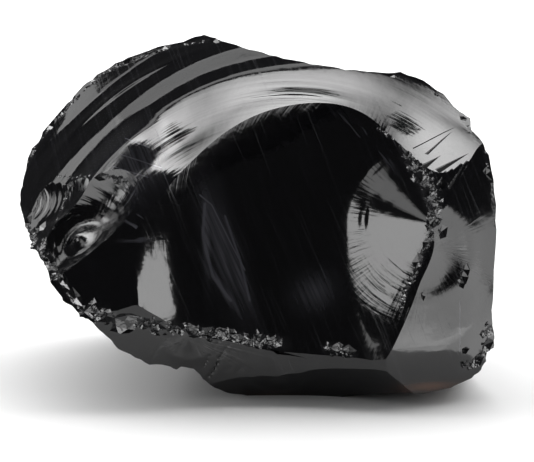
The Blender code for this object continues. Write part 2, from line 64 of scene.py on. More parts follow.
lean, rise = math.sin(FRONT_TILT), math.cos(FRONT_TILT)
SHEET = Matrix((
    (MM, 0, 0, 0),
    (0, MM * lean, -MM * rise, 0),
    (0, MM * rise, MM * lean, MM * FRONT_HEIGHT),
    (0, 0, 0, 1),
))


def sighted(across, up, out):
    """Move a point to its depth along the line of sight, so it keeps its place."""
    scale = (SIGHT_DISTANCE - out) / SIGHT_DISTANCE
    return Vector((across * scale, up * scale, out))


def placed(spot, facing, along):
    """Matrix with Z along `facing` and X as near to `along` as that allows."""
    z_axis = Vector(facing).normalized()
    run = Vector(along)
    x_axis = (run - z_axis * run.dot(z_axis)).normalized()
    turn = Matrix((x_axis, z_axis.cross(x_axis), z_axis)).transposed().to_4x4()
    return Matrix.Translation(spot) @ turn


def carried(matrix, points):
    """Rows of points taken through a matrix."""
    numbers = np.array(matrix)
    return points @ numbers[:3, :3].T + numbers[:3, 3]


print("drawing plane leans back", round(math.degrees(FRONT_TILT)), "degrees")

# %% [markdown]
# ## Steepness instead of height
# What the eye reads on polished black glass is not its height but its slope, because the slope
# decides which lamp it mirrors. So every dish is described by its steepness at a distance from
# the blow, and the height is found by adding the steps up.

# %% From steepness to height
RUN_STEP = 0.05


def run_profile(slopes, length, soften):
    """Distances and heights along a run whose steepness is given in degrees."""
    run = np.arange(0, length, RUN_STEP)
    steep = np.interp(run, *zip(*slopes))
    count = max(1, int(soften / RUN_STEP))
    padded = np.pad(steep, (count // 2, count - 1 - count // 2), mode="edge")
    steep = np.convolve(padded, np.ones(count) / count, mode="valid")
    height = np.concatenate([[0], np.cumsum(np.tan(np.radians(steep[1:])) * RUN_STEP)])
    return run, height


def hump(value, middle, spread):
    return np.exp(-(((value - middle) / spread) ** 2))


def ease(value, start, end):
    share = np.clip((value - start) / (end - start), 0, 1)
    return share * share * (3 - 2 * share)


def bearing_gap(bearing, middle):
    return (bearing - middle + 180) % 360 - 180


print("a 30 degree slope climbs", round(run_profile([(0, 30)], 10, 1)[1][-1], 2), "mm in 10 mm")

# %% [markdown]
# ## One tool for every dish
# A flake scar spreads in rings from the blow, so its cutter is best built of rings and spokes.
# A grid would do, but its squares cut across the rings. A ball already has rings and spokes,
# is closed, and faces outwards: one half of it is laid out flat as the dish, and the other
# half becomes the lid that makes it solid.

# %% The dish maker
def dish(name, rings, spokes, height, far, matrix):
    """A closed solid: the skin `height` over rings and spokes, with its lid at `far`."""
    count = len(rings) + 2
    bpy.ops.mesh.primitive_uv_sphere_add(segments=spokes, ring_count=count, radius=1)
    item = bpy.context.object
    item.name = name
    mesh = item.data
    ball = np.empty(3 * len(mesh.vertices))
    mesh.vertices.foreach_get("co", ball)
    ball = ball.reshape(-1, 3)
    pole = 1 if far < 0 else -1
    beside = np.hypot(ball[:, 0], ball[:, 1])
    ring = np.rint(np.arctan2(beside, pole * ball[:, 2]) * count / math.pi).astype(int)
    reach = np.concatenate([[0], rings, [rings[-1], 0]])[ring]
    bearing = np.arctan2(ball[:, 1], ball[:, 0])
    x, y = reach * np.cos(bearing), reach * np.sin(bearing)
    z = np.where(ring <= len(rings), height(x, y), far)
    spots = carried(SHEET @ matrix, np.stack([x, y, z], axis=1))
    mesh.vertices.foreach_set("co", spots.ravel())
    mesh.update()
    return item


def tag(item, number):
    """Write on every face which cutter it belongs to, so the scar can be finished later."""
    mark = item.data.attributes.new("maker", "INT", "FACE")
    mark.data.foreach_set("value", [number] * len(item.data.polygons))


def strike(stone, cutter, operation="DIFFERENCE"):
    boolean = stone.modifiers.new("strike", "BOOLEAN")
    boolean.operation = operation
    boolean.solver = "MANIFOLD"
    boolean.object = cutter
    bpy.context.view_layer.objects.active = stone
    bpy.ops.object.modifier_apply(modifier=boolean.name)
    spare = cutter.data
    bpy.data.objects.remove(cutter)
    bpy.data.meshes.remove(spare)


print("dish maker ready")

# %% [markdown]
# ## The blank
# The upper face is what is left of a much larger flake: a dome with shock waves frozen into
# it, all round one point below the stone. Where a wave turns the face towards the lamp above
# it shows as a pale band, and where it turns away the band is black.

# %% The blank with its frozen waves
DOME_CENTRE = (8.0, -29.5)
DOME_LEVEL = 2.4
DOME_LEVEL_RADIUS = 56.0
DOME_RADIUS = 92.0
DOME_SPOKES = 460
DOME_SLOPES = [
    (0, -4), (20, -12), (40, -24), (50, -32), (55, -38), (58, -45), (60, -39.5),
    (62, -40.5), (64, -44), (65.4, -48), (66.6, -58), (68.2, -56), (69.4, -47),
    (72.4, -47), (73.4, -60), (80.2, -60), (81.2, -43), (100, -43),
]
# Flattening near the main ridge and swelling of the ends: (bearing, amount, spread)
DOME_SQUASH = [(122, 0.09, 20), (165, -0.15, 16), (58, 0.10, 14)]
DOME_SWELL = [(20, 0.22, 40), (180, 0.15, 14)]
SQUASH_FROM, SQUASH_TO = 52.0, 66.0
# The waves lie closer to the middle on the left: (bearing, amount, spread)
DOME_SHIFT = (130, 0.034, 18)
SHIFT_FROM, SHIFT_TO = 55.0, 64.0
# Places where the dome drops faster or slower: (from, to, drop, bearing, spread)
DOME_STEPS = [(55, 63, 1.3, 114, 8), (51, 66, 3.2, 57, 13), (78, 86, 6.0, 150, 11)]
# The lower left lies flatter up to a sudden drop: (distance, slope), then from and to bearings
SHELF_SLOPES = [
    (0, 0), (36, 0), (37, -10), (43.5, -10), (44.5, 21), (57, 20), (61.5, 12), (63, -47),
    (66.6, -47), (67.6, 0),
]
SHELF_FROM, SHELF_TO = 120, 131
# Short single waves: (distance, height, width, bearing, spread)
DOME_WAVES = [
    (59.4, 0.50, 0.75, 88, 8), (61.4, 0.07, 0.45, 92, 10), (57.4, 0.07, 0.4, 84, 10),
    (75.1, 1.05, 0.8, 126, 15),
]
BLANK_DEPTH = 75.0

dome_run, dome_rise = run_profile(DOME_SLOPES, 1.3 * DOME_RADIUS, 0.5)
dome_base = DOME_LEVEL - np.interp(DOME_LEVEL_RADIUS, dome_run, dome_rise)
shelf_run, shelf_rise = run_profile(SHELF_SLOPES, 1.3 * DOME_RADIUS, 1.0)


def dome_details(reach, bearing):
    """Steps and single waves that only part of the dome has."""
    turned = ease(bearing % 360, SHELF_FROM, SHELF_TO)
    turned = turned * ease(-(bearing % 360), -190, -170)
    extra = np.interp(reach, shelf_run, shelf_rise) * turned
    for start, end, drop, middle, spread in DOME_STEPS:
        near = hump(bearing_gap(bearing, middle), 0, spread)
        extra = extra - drop * ease(reach, start, end) * near
    for middle, tall, width, direction, spread in DOME_WAVES:
        near = hump(bearing_gap(bearing, direction), 0, spread)
        extra = extra + tall * hump(reach, middle, width) * near
    return extra


def dome_height(x, y):
    reach = np.hypot(x, y)
    bearing = np.degrees(np.arctan2(y, x))
    extra = dome_details(reach, bearing)
    middle, amount, spread = DOME_SHIFT
    shift = amount * hump(bearing_gap(bearing, middle), 0, spread)
    reach = reach * (1 + shift * ease(reach, SHIFT_FROM, SHIFT_TO))
    squash = sum(a * hump(bearing_gap(bearing, b), 0, s) for b, a, s in DOME_SQUASH)
    swell = sum(a * hump(bearing_gap(bearing, b), 0, s) for b, a, s in DOME_SWELL)
    reach = reach * (1 - swell) / (1 - squash * ease(-reach, -SQUASH_TO, -SQUASH_FROM))
    turn = np.radians(bearing)
    reach = reach * (1 + 0.008 * np.sin(3 * turn + 0.7) + 0.004 * np.sin(7 * turn + 2))
    return np.interp(reach, dome_run, dome_rise) + dome_base + extra


blank_rings = np.concatenate([np.arange(6, 42, 6), np.arange(42, DOME_RADIUS, 0.5)])
blank_place = Matrix.Translation((*DOME_CENTRE, 0))
stone = dish("obsidian", blank_rings, DOME_SPOKES, dome_height, -BLANK_DEPTH, blank_place)
tag(stone, 0)
print("blank:", len(stone.data.polygons), "faces")

# %% [markdown]
# ## The outline
# The broken rim is not a smooth curve: it steps and nicks where small flakes came away. It
# could be cut with many little scars, but that hides the shape. One trimming block with the
# outline of the front is easier to read, and its sides are drawn in towards the back.

# %% Trim the blank to its outline
# Clockwise from the left tip: (across, up, edge depth or None on the dome, draft), and how far
# the stretch to the next corner bows outwards, where it does
OUTLINE = [
    (-59.75, -2, -10, 14), (-59.25, 1.75, None, 14), (-59, 5.5, None, 14),
    (-58.25, 8.5, None, 14), (-57.25, 15.5, None, 14), (-54.5, 17.5, None, 14),
    (-53.75, 20, None, 14), (-48, 27, None, 14, 2.9), (-20, 42.2, None, 12),
    (-15.5, 43.75, None, 12), (-13.25, 44.25, None, 12), (-10.5, 43.5, None, 12, -1.4),
    (31, 34.8, None, 8), (35.75, 35, None, 8, 1.6), (50.75, 25, None, 8),
    (53.25, 23.5, None, 8), (53.5, 20.5, None, 8, 0.6), (57.75, 14.25, -1, 8, 0.55),
    (60, -4.5, 4, 8), (59, -19.5, 3, 8), (58.5, -27, 0, 8), (59, -31.25, -2, 8),
    (58.75, -33.75, -3, 8),
    (57, -34.75, -3, 8), (56.75, -37, -4, 8), (55.25, -39, -6, 8),
    (52.75, -40.75, -8, 8), (47, -42.75, -11, 6), (40, -44, -12, 4),
    (35.75, -44, -11, 2), (20, -46, -6, 2), (3, -47, -3, 2), (-7, -45.25, -2, 4),
    (-10.5, -43.75, -1, 6), (-13.5, -41.5, 1, 6), (-15.75, -39, 2, 6),
    (-18.75, -38.5, 2.5, 6), (-20, -39.25, 2.5, 6), (-22.5, -38.25, 3, 8),
    (-26.75, -38, 3, 8), (-30.25, -36.25, 4, 8), (-34.5, -34, 5, 8),
    (-37.25, -30.75, 5, 10), (-38.75, -29.25, 4, 10), (-41.5, -26.25, 2, 10),
    (-43.5, -25.75, 1, 10), (-44.75, -23.75, 1, 10), (-47.75, -21.75, 0, 12),
    (-48.75, -20, 0, 12), (-50.5, -17.75, -1, 12), (-53, -13, -3, 14),
    (-54.25, -11, -4, 14), (-55.25, -9.5, -5, 14), (-57, -9.25, -6, 14),
    (-58, -7.5, -7, 14), (-59.5, -5.25, -8, 14),
]
OUTLINE_MIDDLE = Vector((4.0, -6.0, 0))
EDGE_STEP = 0.6
BOW_STEP = 5.5
LOWEST_EDGE = -34.0
CUTTER_HEIGHT = 60.0
NICKS_PER_STRETCH = 3
NICK_DEPTH = 0.32


def bowed(rows):
    """The outline with its bowed stretches filled in."""
    full = []
    for row, after in zip(rows, rows[1:] + rows[:1]):
        x, y, depth, draft, *bow = row
        full.append((x, y, depth, draft))
        dx, dy = after[0] - x, after[1] - y
        length = math.hypot(dx, dy)
        count = max(2, round(length / BOW_STEP)) if bow else 1
        for step in range(1, count):
            share = step / count
            out = 4 * bow[0] * share * (1 - share) / length
            level = None
            if depth is not None and after[2] is not None:
                level = depth + share * (after[2] - depth)
            full.append((x + share * dx - out * dy, y + share * dy + out * dx, level,
                         draft + share * (after[3] - draft)))
    return full


def edge_point(across, up, depth):
    """The outline point at its own depth on the line of sight."""
    if depth is not None:
        return sighted(across, up, depth - EDGE_STEP)
    spot = sighted(across, up, 0)
    for _ in range(4):
        out = float(dome_height(spot.x - DOME_CENTRE[0], spot.y - DOME_CENTRE[1]))
        spot = sighted(across, up, out)
    return sighted(across, up, max(spot.z, LOWEST_EDGE) - EDGE_STEP)


def nicked(spots, drafts, dice):
    """Small steps added between the outline's points, as a broken rim has them."""
    rim = []
    for index, spot in enumerate(spots):
        after = (index + 1) % len(spots)
        for step in range(NICKS_PER_STRETCH):
            share = step / NICKS_PER_STRETCH
            point = spot.lerp(spots[after], share)
            inwards = (OUTLINE_MIDDLE - Vector((point.x, point.y, 0))).normalized()
            point += inwards * dice.uniform(-0.3, 1) * NICK_DEPTH * (step > 0)
            rim.append((point, drafts[index] * (1 - share) + drafts[after] * share))
    return rim


def pull_out(item, spots):
    """Extrude the selected face and move its corners to `spots`, in drawing millimetres."""
    bpy.ops.object.mode_set(mode="EDIT")
    bpy.ops.mesh.extrude_region_move()
    bpy.ops.object.mode_set(mode="OBJECT")
    face = next(face for face in item.data.polygons if face.select)
    for corner, spot in zip(face.vertices, spots):
        item.data.vertices[corner].co = SHEET @ spot


def make_outline():
    rows = bowed(OUTLINE)
    rim = nicked([edge_point(*row[:3]) for row in rows], [row[3] for row in rows],
                 random.Random(3))
    rim.reverse()
    bpy.ops.mesh.primitive_circle_add(vertices=len(rim), radius=1, fill_type="NGON")
    item = bpy.context.object
    tops = [Vector((spot.x, spot.y, CUTTER_HEIGHT)) for spot, _ in rim]
    for corner, spot in zip(item.data.polygons[0].vertices, tops):
        item.data.vertices[corner].co = SHEET @ spot
    pull_out(item, [spot for spot, _ in rim])
    backs = []
    for spot, draft in rim:
        inwards = (OUTLINE_MIDDLE - Vector((spot.x, spot.y, 0))).normalized() * draft
        backs.append(Vector((spot.x + inwards.x, spot.y + inwards.y, -BLANK_DEPTH + 1)))
    pull_out(item, backs)
    bpy.ops.object.mode_set(mode="EDIT")
    bpy.ops.mesh.select_all(action="SELECT")
    bpy.ops.mesh.quads_convert_to_tris()
    bpy.ops.mesh.normals_make_consistent(inside=False)
    bpy.ops.object.mode_set(mode="OBJECT")
    return item


outline = make_outline()
tag(outline, 1)
strike(stone, outline, "INTERSECT")
print("trimmed:", len(stone.data.polygons), "faces")

# %% [markdown]
# ## The flake scars
# Each scar is a shallow shell: steep where the blow landed, flat in the middle, and rolled up
# again towards its end, with a few waves on it. They could all be one sculpted surface, but a
# crisp ridge only appears where one dish cuts into another, in the order of the real blows.

# %% Strike the flake scars
# at: where the blow landed; facing: the way the scar looks; along: the way the flake ran;
# slopes: steepness by distance; cross: radius across the run on the lower and upper side;
# squeeze: how far a step across counts, 1 if not given; bend: an even bend along the run;
# roll: an edge that falls away; offset: where the slopes are counted from; ripples: distance,
# height and width; waves: the same with a bearing and a spread; grooves: depth, how close, and
# where they lie.
SCARS = [
    {
        "name": "centre", "at": (44, -3, 14.5), "facing": (0, 0, 1), "along": (-1, 0, 0),
        "slopes": [
            (0, -32), (18.5, -30), (22, -17), (32, -6), (40, 2), (50, 9), (60, 17),
            (66, 27), (71, 28), (74, 6), (78, -6), (90, -12),
        ],
        "cross": (75, 150), "squeeze": (0.4, 1),
        "ripples": [(74, 0.3, 1.5)],
        "waves": [
            (66, 0.9, 7, -12, 14), (16.6, 0.30, 0.9, -5, 13), (13.8, 0.05, 0.6, 0, 16),
            (57.5, 0.12, 2.2, 12, 14), (14, 0.05, 0.5, 62, 16), (16, 0.06, 0.5, 58, 16),
            (18.2, 0.07, 0.6, 55, 16), (20.6, 0.08, 0.6, 52, 14), (11.8, 0.04, 0.5, 62, 18),
            (11, 0.10, 0.7, -42, 18), (14.5, 0.08, 0.7, -44, 16), (19, 0.08, 0.8, -46, 14),
        ],
        "rings": (100, 0.5), "spokes": 340,
    },
    {
        "name": "right", "at": (44, -9, 14.3), "facing": (0.75, 0.03, 1),
        "along": (0, -1, 0), "slopes": [(0, 0), (15, -9), (30, -17)],
        "roll": {
            "start": 14, "slopes": [(0, 0), (8, 22), (18, 20), (26, 4)],
            "from": -5, "to": 13,
        },
        "cross": (200, 200), "squeeze": (0, 0),
        "ripples": [(12, 0.25, 3), (26, 0.25, 4)],
        "rings": (60, 0.6), "spokes": 240,
    },
    {
        "name": "left_low", "at": (-45.2, -5.6, 2.2), "facing": (-0.68, 0.74, 1),
        "along": (0.9, 0.6, 0),
        "slopes": [(0, -33), (4, -26), (7, -8), (11, 10), (15, 22), (20, 34), (24, 40)],
        "cross": (6, 11), "squeeze": (1.5, 1),
        "ripples": [(7, 0.18, 0.9), (9.6, 0.06, 0.5), (12, 0.16, 0.9),
                    (14.6, 0.08, 0.5), (17, 0.08, 0.5)],
        "rings": (26, 0.35), "spokes": 240, "soften": 1.0,
    },
    {
        "name": "left_high", "at": (-59.2, 1.7, -16.7), "facing": (-0.99, 0.69, 1),
        "along": (1, 0.2, 0.8),
        "slopes": [(0, -28), (5, -18), (10, 0), (16, 12), (24, 24)],
        "cross": (15, 15),
        "ripples": [(5, 0.10, 0.5), (7, 0.25, 0.9), (9.2, 0.12, 0.45), (11.2, 0.14, 0.45),
                    (13.2, 0.14, 0.45), (15.2, 0.14, 0.45), (17.4, 0.12, 0.45)],
        "rings": (26, 0.35), "spokes": 240, "soften": 1.0,
    },
    {
        "name": "band_left", "at": (-17, -31.5, 7.3), "facing": (0.05, -0.4, 1),
        "along": (0, -1, 0), "slopes": [(0, -4), (10, 0), (20, 5)],
        "cross": (200, 200), "ripples": [(6, 0.15, 1.2)],
        "grooves": (0.3, 2.6, 7, 5, 5.5, 13),
        "rings": (60, 0.6), "spokes": 420,
    },
    {
        "name": "band_right", "at": (17, -37.3, 6.6), "facing": (-0.2, -0.4, 1),
        "along": (1, -0.2, 0), "slopes": [(0, 0), (60, 0)],
        "cross": (90, 90), "bend": 90, "ripples": [(12, 0.2, 2)],
        "rings": (50, 0.8), "spokes": 200,
    },
    {
        "name": "underside", "at": (5, -41, 4), "facing": (0, -0.75, 0.66),
        "along": (0.1, -1, 0), "slopes": [(0, -8), (10, 0), (22, 6)],
        "cross": (160, 160), "ripples": [(6, 0.2, 1.5)],
        "rings": (62, 1.0), "spokes": 180,
    },
]
# Plain scars of the back: (at, facing, along, radius across the run, bend, ripples,
# rings, spokes)
BACK_SCARS = {
    "back_left": ((-20, 0, -46), (-0.12, 0.32, -0.94), (0, -1, 0), 130, 150,
                  [(14, 0.5, 4), (26, 0.5, 4), (40, 0.6, 5)], (90, 1.0), 200),
    "back_right": ((25, 2, -40), (0.25, 0.38, -0.9), (0.2, -1, 0), 130, 150,
                   [(12, 0.5, 4), (24, 0.5, 4), (40, 0.6, 5)], (90, 1.0), 200),
    "back_foot": ((-5, -23, -50), (0, -0.43, -0.89), (1, 0, 0), 140, 170,
                  [(12, 0.4, 3), (26, 0.4, 4)], (80, 1.2), 160),
    "back_end_left": ((-54, 0, -38), (-0.75, 0.1, -0.62), (0, 0, 1), 120, 120,
                      [(10, 0.4, 3), (22, 0.4, 4)], (75, 1.2), 160),
    "back_end_right": ((54, -8, -22), (0.85, 0.1, -0.5), (0, 0, 1), 120, 120,
                       [(10, 0.4, 3), (22, 0.4, 4)], (75, 1.2), 160),
}
# Scars round the sides: (at, facing, radius across the run)
SIDE_SCARS = {
    "end_right": ((60.4, -8, 3), (0.93, 0.05, -0.37), 160),
    "top_right": ((26, 37.4, -8), (0.18, 0.87, -0.45), 70),
    "top_middle": ((-25.3, 43.6, -28.5), (-0.25, 0.85, -0.46), 160),
    "top_left": ((-49.8, 29.8, -29.5), (-0.66, 0.58, -0.48), 160),
    "low_left": ((-49.4, -21, -2), (-0.7, -0.62, -0.35), 160),
    "low_middle": ((-25, -39.4, 1), (-0.3, -0.85, -0.43), 160),
}
SIDE_SLOPES = [(0, 0), (14, 9), (24, 16), (40, 28), (64, 35)]
SIDE_OFFSET = 14.0
RIPPLE_WANDER = 0.012
DISH_CENTRE_STEP = 1.0
PLAIN_SOFTEN = 2.0

for name, (at, facing, along, cross, bend, ripples, rings, spokes) in BACK_SCARS.items():
    SCARS.append({
        "name": name, "at": at, "facing": facing, "along": along, "slopes": [(0, 0), (90, 0)],
        "cross": (cross, cross), "bend": bend, "ripples": ripples, "rings": rings,
        "spokes": spokes,
    })
for name, (at, facing, cross) in SIDE_SCARS.items():
    SCARS.append({
        "name": name, "at": at, "facing": facing, "along": (0, 0, -1),
        "slopes": SIDE_SLOPES, "cross": (cross, cross), "squeeze": (0, 0),
        "offset": SIDE_OFFSET, "ripples": [(13, 0.35, 3), (25, 0.35, 4)],
        "rings": (64, 1.0), "spokes": 140,
    })


def roll_depth(roll, x, y):
    """How far the rolled side of a scar falls below its plain surface."""
    run, fall = run_profile(roll["slopes"], 100, PLAIN_SOFTEN)
    return np.interp(roll["start"] - y, run, fall) * ease(x, roll["from"], roll["to"])


def scar_details(scar, reach, bearing):
    """Waves on one side only, and slanting grooves."""
    extra = 0
    for middle, tall, width, direction, spread in scar.get("waves", []):
        near = hump(bearing_gap(bearing, direction), 0, spread)
        extra = extra + tall * hump(reach, middle, width) * near
    if "grooves" in scar:
        deep, often, x_middle, x_spread, y_middle, y_spread = scar["grooves"]
        x, y = reach * np.cos(np.radians(bearing)), reach * np.sin(np.radians(bearing))
        phase = often * (0.5 * x + 0.85 * y) + 1.2 * np.sin(0.5 * x) + np.sin(0.33 * y)
        fresh = np.clip(np.sin(0.9 * y + 0.4 * x) + np.sin(0.31 * y - 1), 0, 1)
        near = hump(x, x_middle, x_spread) * hump(y, y_middle, y_spread)
        extra = extra - deep * np.clip(np.cos(phase), 0, 1) ** 6 * fresh * near
    return extra


def scar_height(scar):
    """The height of a scar above its own plane, as a function of the place on it."""
    soften = scar.get("soften", PLAIN_SOFTEN)
    run, climb = run_profile(scar["slopes"], 1.7 * scar["rings"][0], soften)
    offset = scar.get("offset", 0)

    def height(x, y):
        squeeze = np.where(y > 0, *scar.get("squeeze", (1, 1)))
        z = np.interp(np.hypot(x - offset, squeeze * y), run, climb)
        z = z - np.interp(offset, run, climb)
        z = z + y * y / (2 * np.where(y > 0, *scar["cross"]))
        if "bend" in scar:
            z = z + x * x / (2 * scar["bend"])
        if "roll" in scar:
            z = z - roll_depth(scar["roll"], x, y)
        turn, reach = np.arctan2(y, x), np.hypot(x, y)
        for index, (middle, tall, width) in enumerate(scar["ripples"]):
            wander = np.sin(3 * turn + 1.7 * index) + 0.5 * np.sin(5 * turn + 2.9 * index)
            z = z + tall * hump(reach, middle * (1 + RIPPLE_WANDER * wander), width)
        return z + scar_details(scar, reach, np.degrees(turn))

    return height


def scar_place(scar):
    return placed(sighted(*scar["at"]), scar["facing"], scar["along"])


for number, scar in enumerate(SCARS, start=2):
    reach, step = scar["rings"]
    rings = np.arange(DISH_CENTRE_STEP, reach, step)
    place = scar_place(scar)
    cutter = dish(scar["name"], rings, scar["spokes"], scar_height(scar), CUTTER_HEIGHT, place)
    tag(cutter, number)
    strike(stone, cutter)
    print("struck", scar["name"], "faces now", len(stone.data.polygons))

# %% [markdown]
# ## Crushed edges
# Where a blow landed, or an edge knocked against another stone, the glass is crushed into
# hundreds of tiny flakes. They could be a rough texture, but they catch the light one by one,
# so each is a real scoop: a roughened, stretched ball that dips a little into the stone. Balls
# that would touch go into different cutters, because a cutter must never cross itself.

# %% Scoop out the crushed edges
# (across, up, radius, depth, stretch, bearing of the stretch)
CHIPS = [
    (-41, -25, 2.6, 1.0, 1.3, 150), (-37.5, -26.5, 2.8, 1.1, 1.4, 170),
    (-33, -28, 3.4, 1.3, 1.5, 175), (-28.5, -28.3, 2.4, 0.9, 1.2, 160),
    (-24.5, -28.2, 2.6, 0.9, 1.3, 150), (-20.5, -29.2, 2.2, 0.8, 1.3, 165),
    (-16.5, -29.5, 2.6, 1.0, 1.2, 140), (-12.5, -30.3, 2.8, 1.1, 1.3, 160),
    (-8.5, -31, 2.4, 0.9, 1.2, 150), (-4, -32, 2.3, 0.9, 1.4, 170),
    (1.5, -31.8, 2.2, 0.9, 1.2, 60), (5, -32.4, 2.2, 0.9, 1.2, 70),
    (19.6, -34.6, 2.2, 1.0, 1.2, 40), (22.8, -35, 2.4, 1.1, 1.2, 120),
    (36.5, 14.8, 2.2, 0.8, 1.5, 130), (38.8, 11.6, 2.6, 1.1, 1.4, 125),
    (41.2, 8.4, 2.8, 1.3, 1.3, 110), (43, 4.8, 2.8, 1.4, 1.3, 100),
    (44.6, 1.2, 2.6, 1.3, 1.2, 95), (43.6, -2.8, 2.6, 1.2, 1.2, 80),
    (46.4, 6.6, 2.4, 1.0, 1.2, 60), (46.4, -5, 2.0, 0.8, 1.4, 60),
    (42.6, -7.6, 2.0, 0.8, 1.5, 60), (40.2, -12.5, 2.4, 0.9, 1.6, 65),
    (52.3, -14.4, 1.2, 0.9, 1.5, 115), (51.7, -16.1, 1.5, 1.1, 1.5, 110),
    (51.1, -17.9, 1.1, 0.8, 1.5, 120), (41.4, -20.8, 0.9, 0.4, 2.0, 100),
    (58.2, -29.6, 2.4, 1.0, 1.3, 80), (57.4, -33.6, 2.6, 1.2, 1.2, 60),
    (55, -37, 2.8, 1.2, 1.2, 50), (52, -34.6, 1.8, 0.6, 1.2, 40),
    (-57.4, -2.4, 2.2, 0.9, 1.2, 90), (-55.8, -5.0, 2.2, 0.9, 1.2, 60),
    (-53.6, -3.8, 2.0, 0.8, 1.2, 30), (-53.4, -8, 2.6, 1.2, 1.3, 45),
    (-51.4, -12.2, 2.4, 0.9, 1.8, 125), (-48.6, -16.6, 2.2, 0.8, 2.0, 125),
    (-45.4, -21.2, 2.2, 0.8, 1.8, 130), (-46.6, 7, 1.8, 0.7, 1.3, 0),
    (-43.2, 8.4, 2.0, 0.8, 1.4, 10), (-39, 8.6, 2.0, 0.8, 1.5, 0),
    (-35, 7.8, 1.6, 0.6, 1.4, 340), (-56, 14.6, 2.6, 0.7, 1.3, 60),
    (-51.4, 21.8, 2.8, 0.8, 1.5, 55), (-46.4, 28.2, 2.6, 0.8, 1.4, 48),
    (-40.6, 33.2, 2.8, 0.8, 1.5, 42), (-32.4, 37.6, 2.8, 0.8, 1.5, 30),
    (-22.4, 41.2, 2.4, 0.7, 1.4, 20), (-9.6, 42.8, 2.4, 0.8, 1.3, 340),
    (33.4, 34.2, 2.2, 0.7, 1.4, 0), (51.6, 23.4, 2.2, 0.7, 1.3, 320),
    (57.8, 9.6, 2.0, 0.7, 1.8, 280),
]
# Crushed lines that small scoops are scattered along: (points, width, count, radius)
CRUSHED_LINES = {
    "under_centre": ([(-42, -24.5), (-36, -26.5), (-30, -27.8), (-22, -28.8), (-14, -30),
                      (-6, -31.4), (2, -32.2), (7, -33)], 1.7, 120, 1.35),
    "under_right": ([(18.5, -34), (22, -34.6), (24, -35.6)], 1.4, 14, 1.1),
    "blow": ([(37.5, 14), (40.5, 10), (43.6, 4.5), (44.6, -0.5), (43.6, -5)], 2.2, 100, 1.1),
    "blow_tail": ([(43.6, -5), (41, -12), (37.2, -19.6), (36, -24)], 0.7, 20, 0.8),
    "ridge_rim": ([(30.5, 20.8), (35, 17.2), (38, 13.4)], 0.4, 18, 0.45),
    "left_tip": ([(-58.6, -1), (-57, -5), (-54.6, -8.6), (-52, -12)], 1.8, 40, 1.1),
    "low_left": ([(-52, -12), (-48.5, -18.6), (-44, -25), (-41, -25)], 0.7, 20, 0.9),
    "left_rims": ([(-50, 9), (-46, 8.6), (-41, 9.4), (-36, 8.8), (-31.4, 7.4)], 0.5, 30, 0.6),
    "left_divide": ([(-46.5, 6.8), (-49, 0.5), (-50.8, -4)], 0.4, 12, 0.6),
    "low_corner": ([(57.6, -28), (57.4, -33), (55, -37), (51, -39.4)], 1.2, 30, 1.0),
    "rim_left": ([(-57.6, 11), (-56, 15.5), (-51, 22), (-43, 30.6), (-38, 35)], 0.3, 44, 0.7),
    "rim_top": ([(-38, 35), (-29, 39), (-19, 41.6), (-12, 43)], 0.3, 30, 0.7),
    "rim_right": ([(34, 34.4), (43, 31), (50, 25), (57, 15), (59, 6), (59.6, -4)], 0.3, 22, 0.6),
}
# Sharp splinter scars: (tip, two base corners, depth, where its lowest point lies)
SPIKES = [
    ((49.6, 20.8), (39.2, 15.2), (43.2, 14.2), 0.6, 0.85),
    ((50.6, 21.6), (38.6, 16.6), (39.4, 15.2), 0.5, 0.5),
    ((46.5, 14.6), (39.6, 12.6), (42.6, 10.4), 1.4, 0.75),
    ((53.2, 14.2), (46.6, 9.2), (48.2, 4.8), 0.6, 0.85),
    ((53.8, 15.2), (43.2, 11.7), (46, 9.3), 1.4, 0.75),
    ((20, -38.4), (2.5, -33.6), (7, -37), 0.7, 0.25),
]
# Chips of the back, met from behind
BACK_CHIPS = [
    (-44, 22, 4.0, 1.2, 1.4, 60), (-33, 29, 4.2, 1.3, 1.3, 40),
    (-50, 4, 3.6, 1.1, 1.4, 80), (-44, -12, 3.8, 1.2, 1.3, 120),
    (2, 10, 3.4, 1.0, 1.5, 95), (4, -8, 3.2, 1.0, 1.4, 80),
]
CHIP_ROUGHNESS = 0.16
CHIP_CLEARANCE = 1.03
CHIP_TAG = 100
SMALL_CHIP = 3.0
WEDGE_FACES = [(0, 1, 2), (0, 2, 3), (0, 3, 1), (1, 3, 2)]


def line_spot(points, share):
    """The place at a share of the way along a line of points."""
    legs = [math.dist(a, b) for a, b in zip(points, points[1:])]
    left = share * sum(legs)
    for leg, start, end in zip(legs, points, points[1:]):
        if left <= leg:
            return Vector(start).lerp(Vector(end), left / leg)
        left -= leg
    return Vector(points[-1])


def scattered_chips(dice):
    chips = []
    for points, width, count, radius in CRUSHED_LINES.values():
        for _ in range(count):
            spot = line_spot(points, dice.random())
            size = radius * dice.uniform(0.5, 1.25)
            across = spot.x + dice.gauss(0, 0.45) * width
            up = spot.y + dice.gauss(0, 0.45) * width
            chips.append((across, up, size, size * dice.uniform(0.3, 0.5),
                          dice.uniform(1, 1.8), dice.uniform(0, 180)))
    return chips


def sight_hit(surface, across, up, side):
    start = SHEET @ sighted(across, up, side * BLANK_DEPTH)
    finish = SHEET @ sighted(across, up, -side * BLANK_DEPTH)
    spot, normal, _, _ = surface.ray_cast(start, (finish - start).normalized())
    return spot, normal


def ball_shape(detail):
    """The points and faces of a plain ball of radius 1."""
    bpy.ops.mesh.primitive_ico_sphere_add(subdivisions=detail, radius=1)
    item = bpy.context.object
    points = [point.co.copy() for point in item.data.vertices]
    faces = [tuple(face.vertices) for face in item.data.polygons]
    bpy.data.objects.remove(item)
    return points, faces


def roughened(points, dice):
    return [point * (1 + dice.uniform(-CHIP_ROUGHNESS, CHIP_ROUGHNESS)) for point in points]


small_ball, large_ball = ball_shape(1), ball_shape(2)


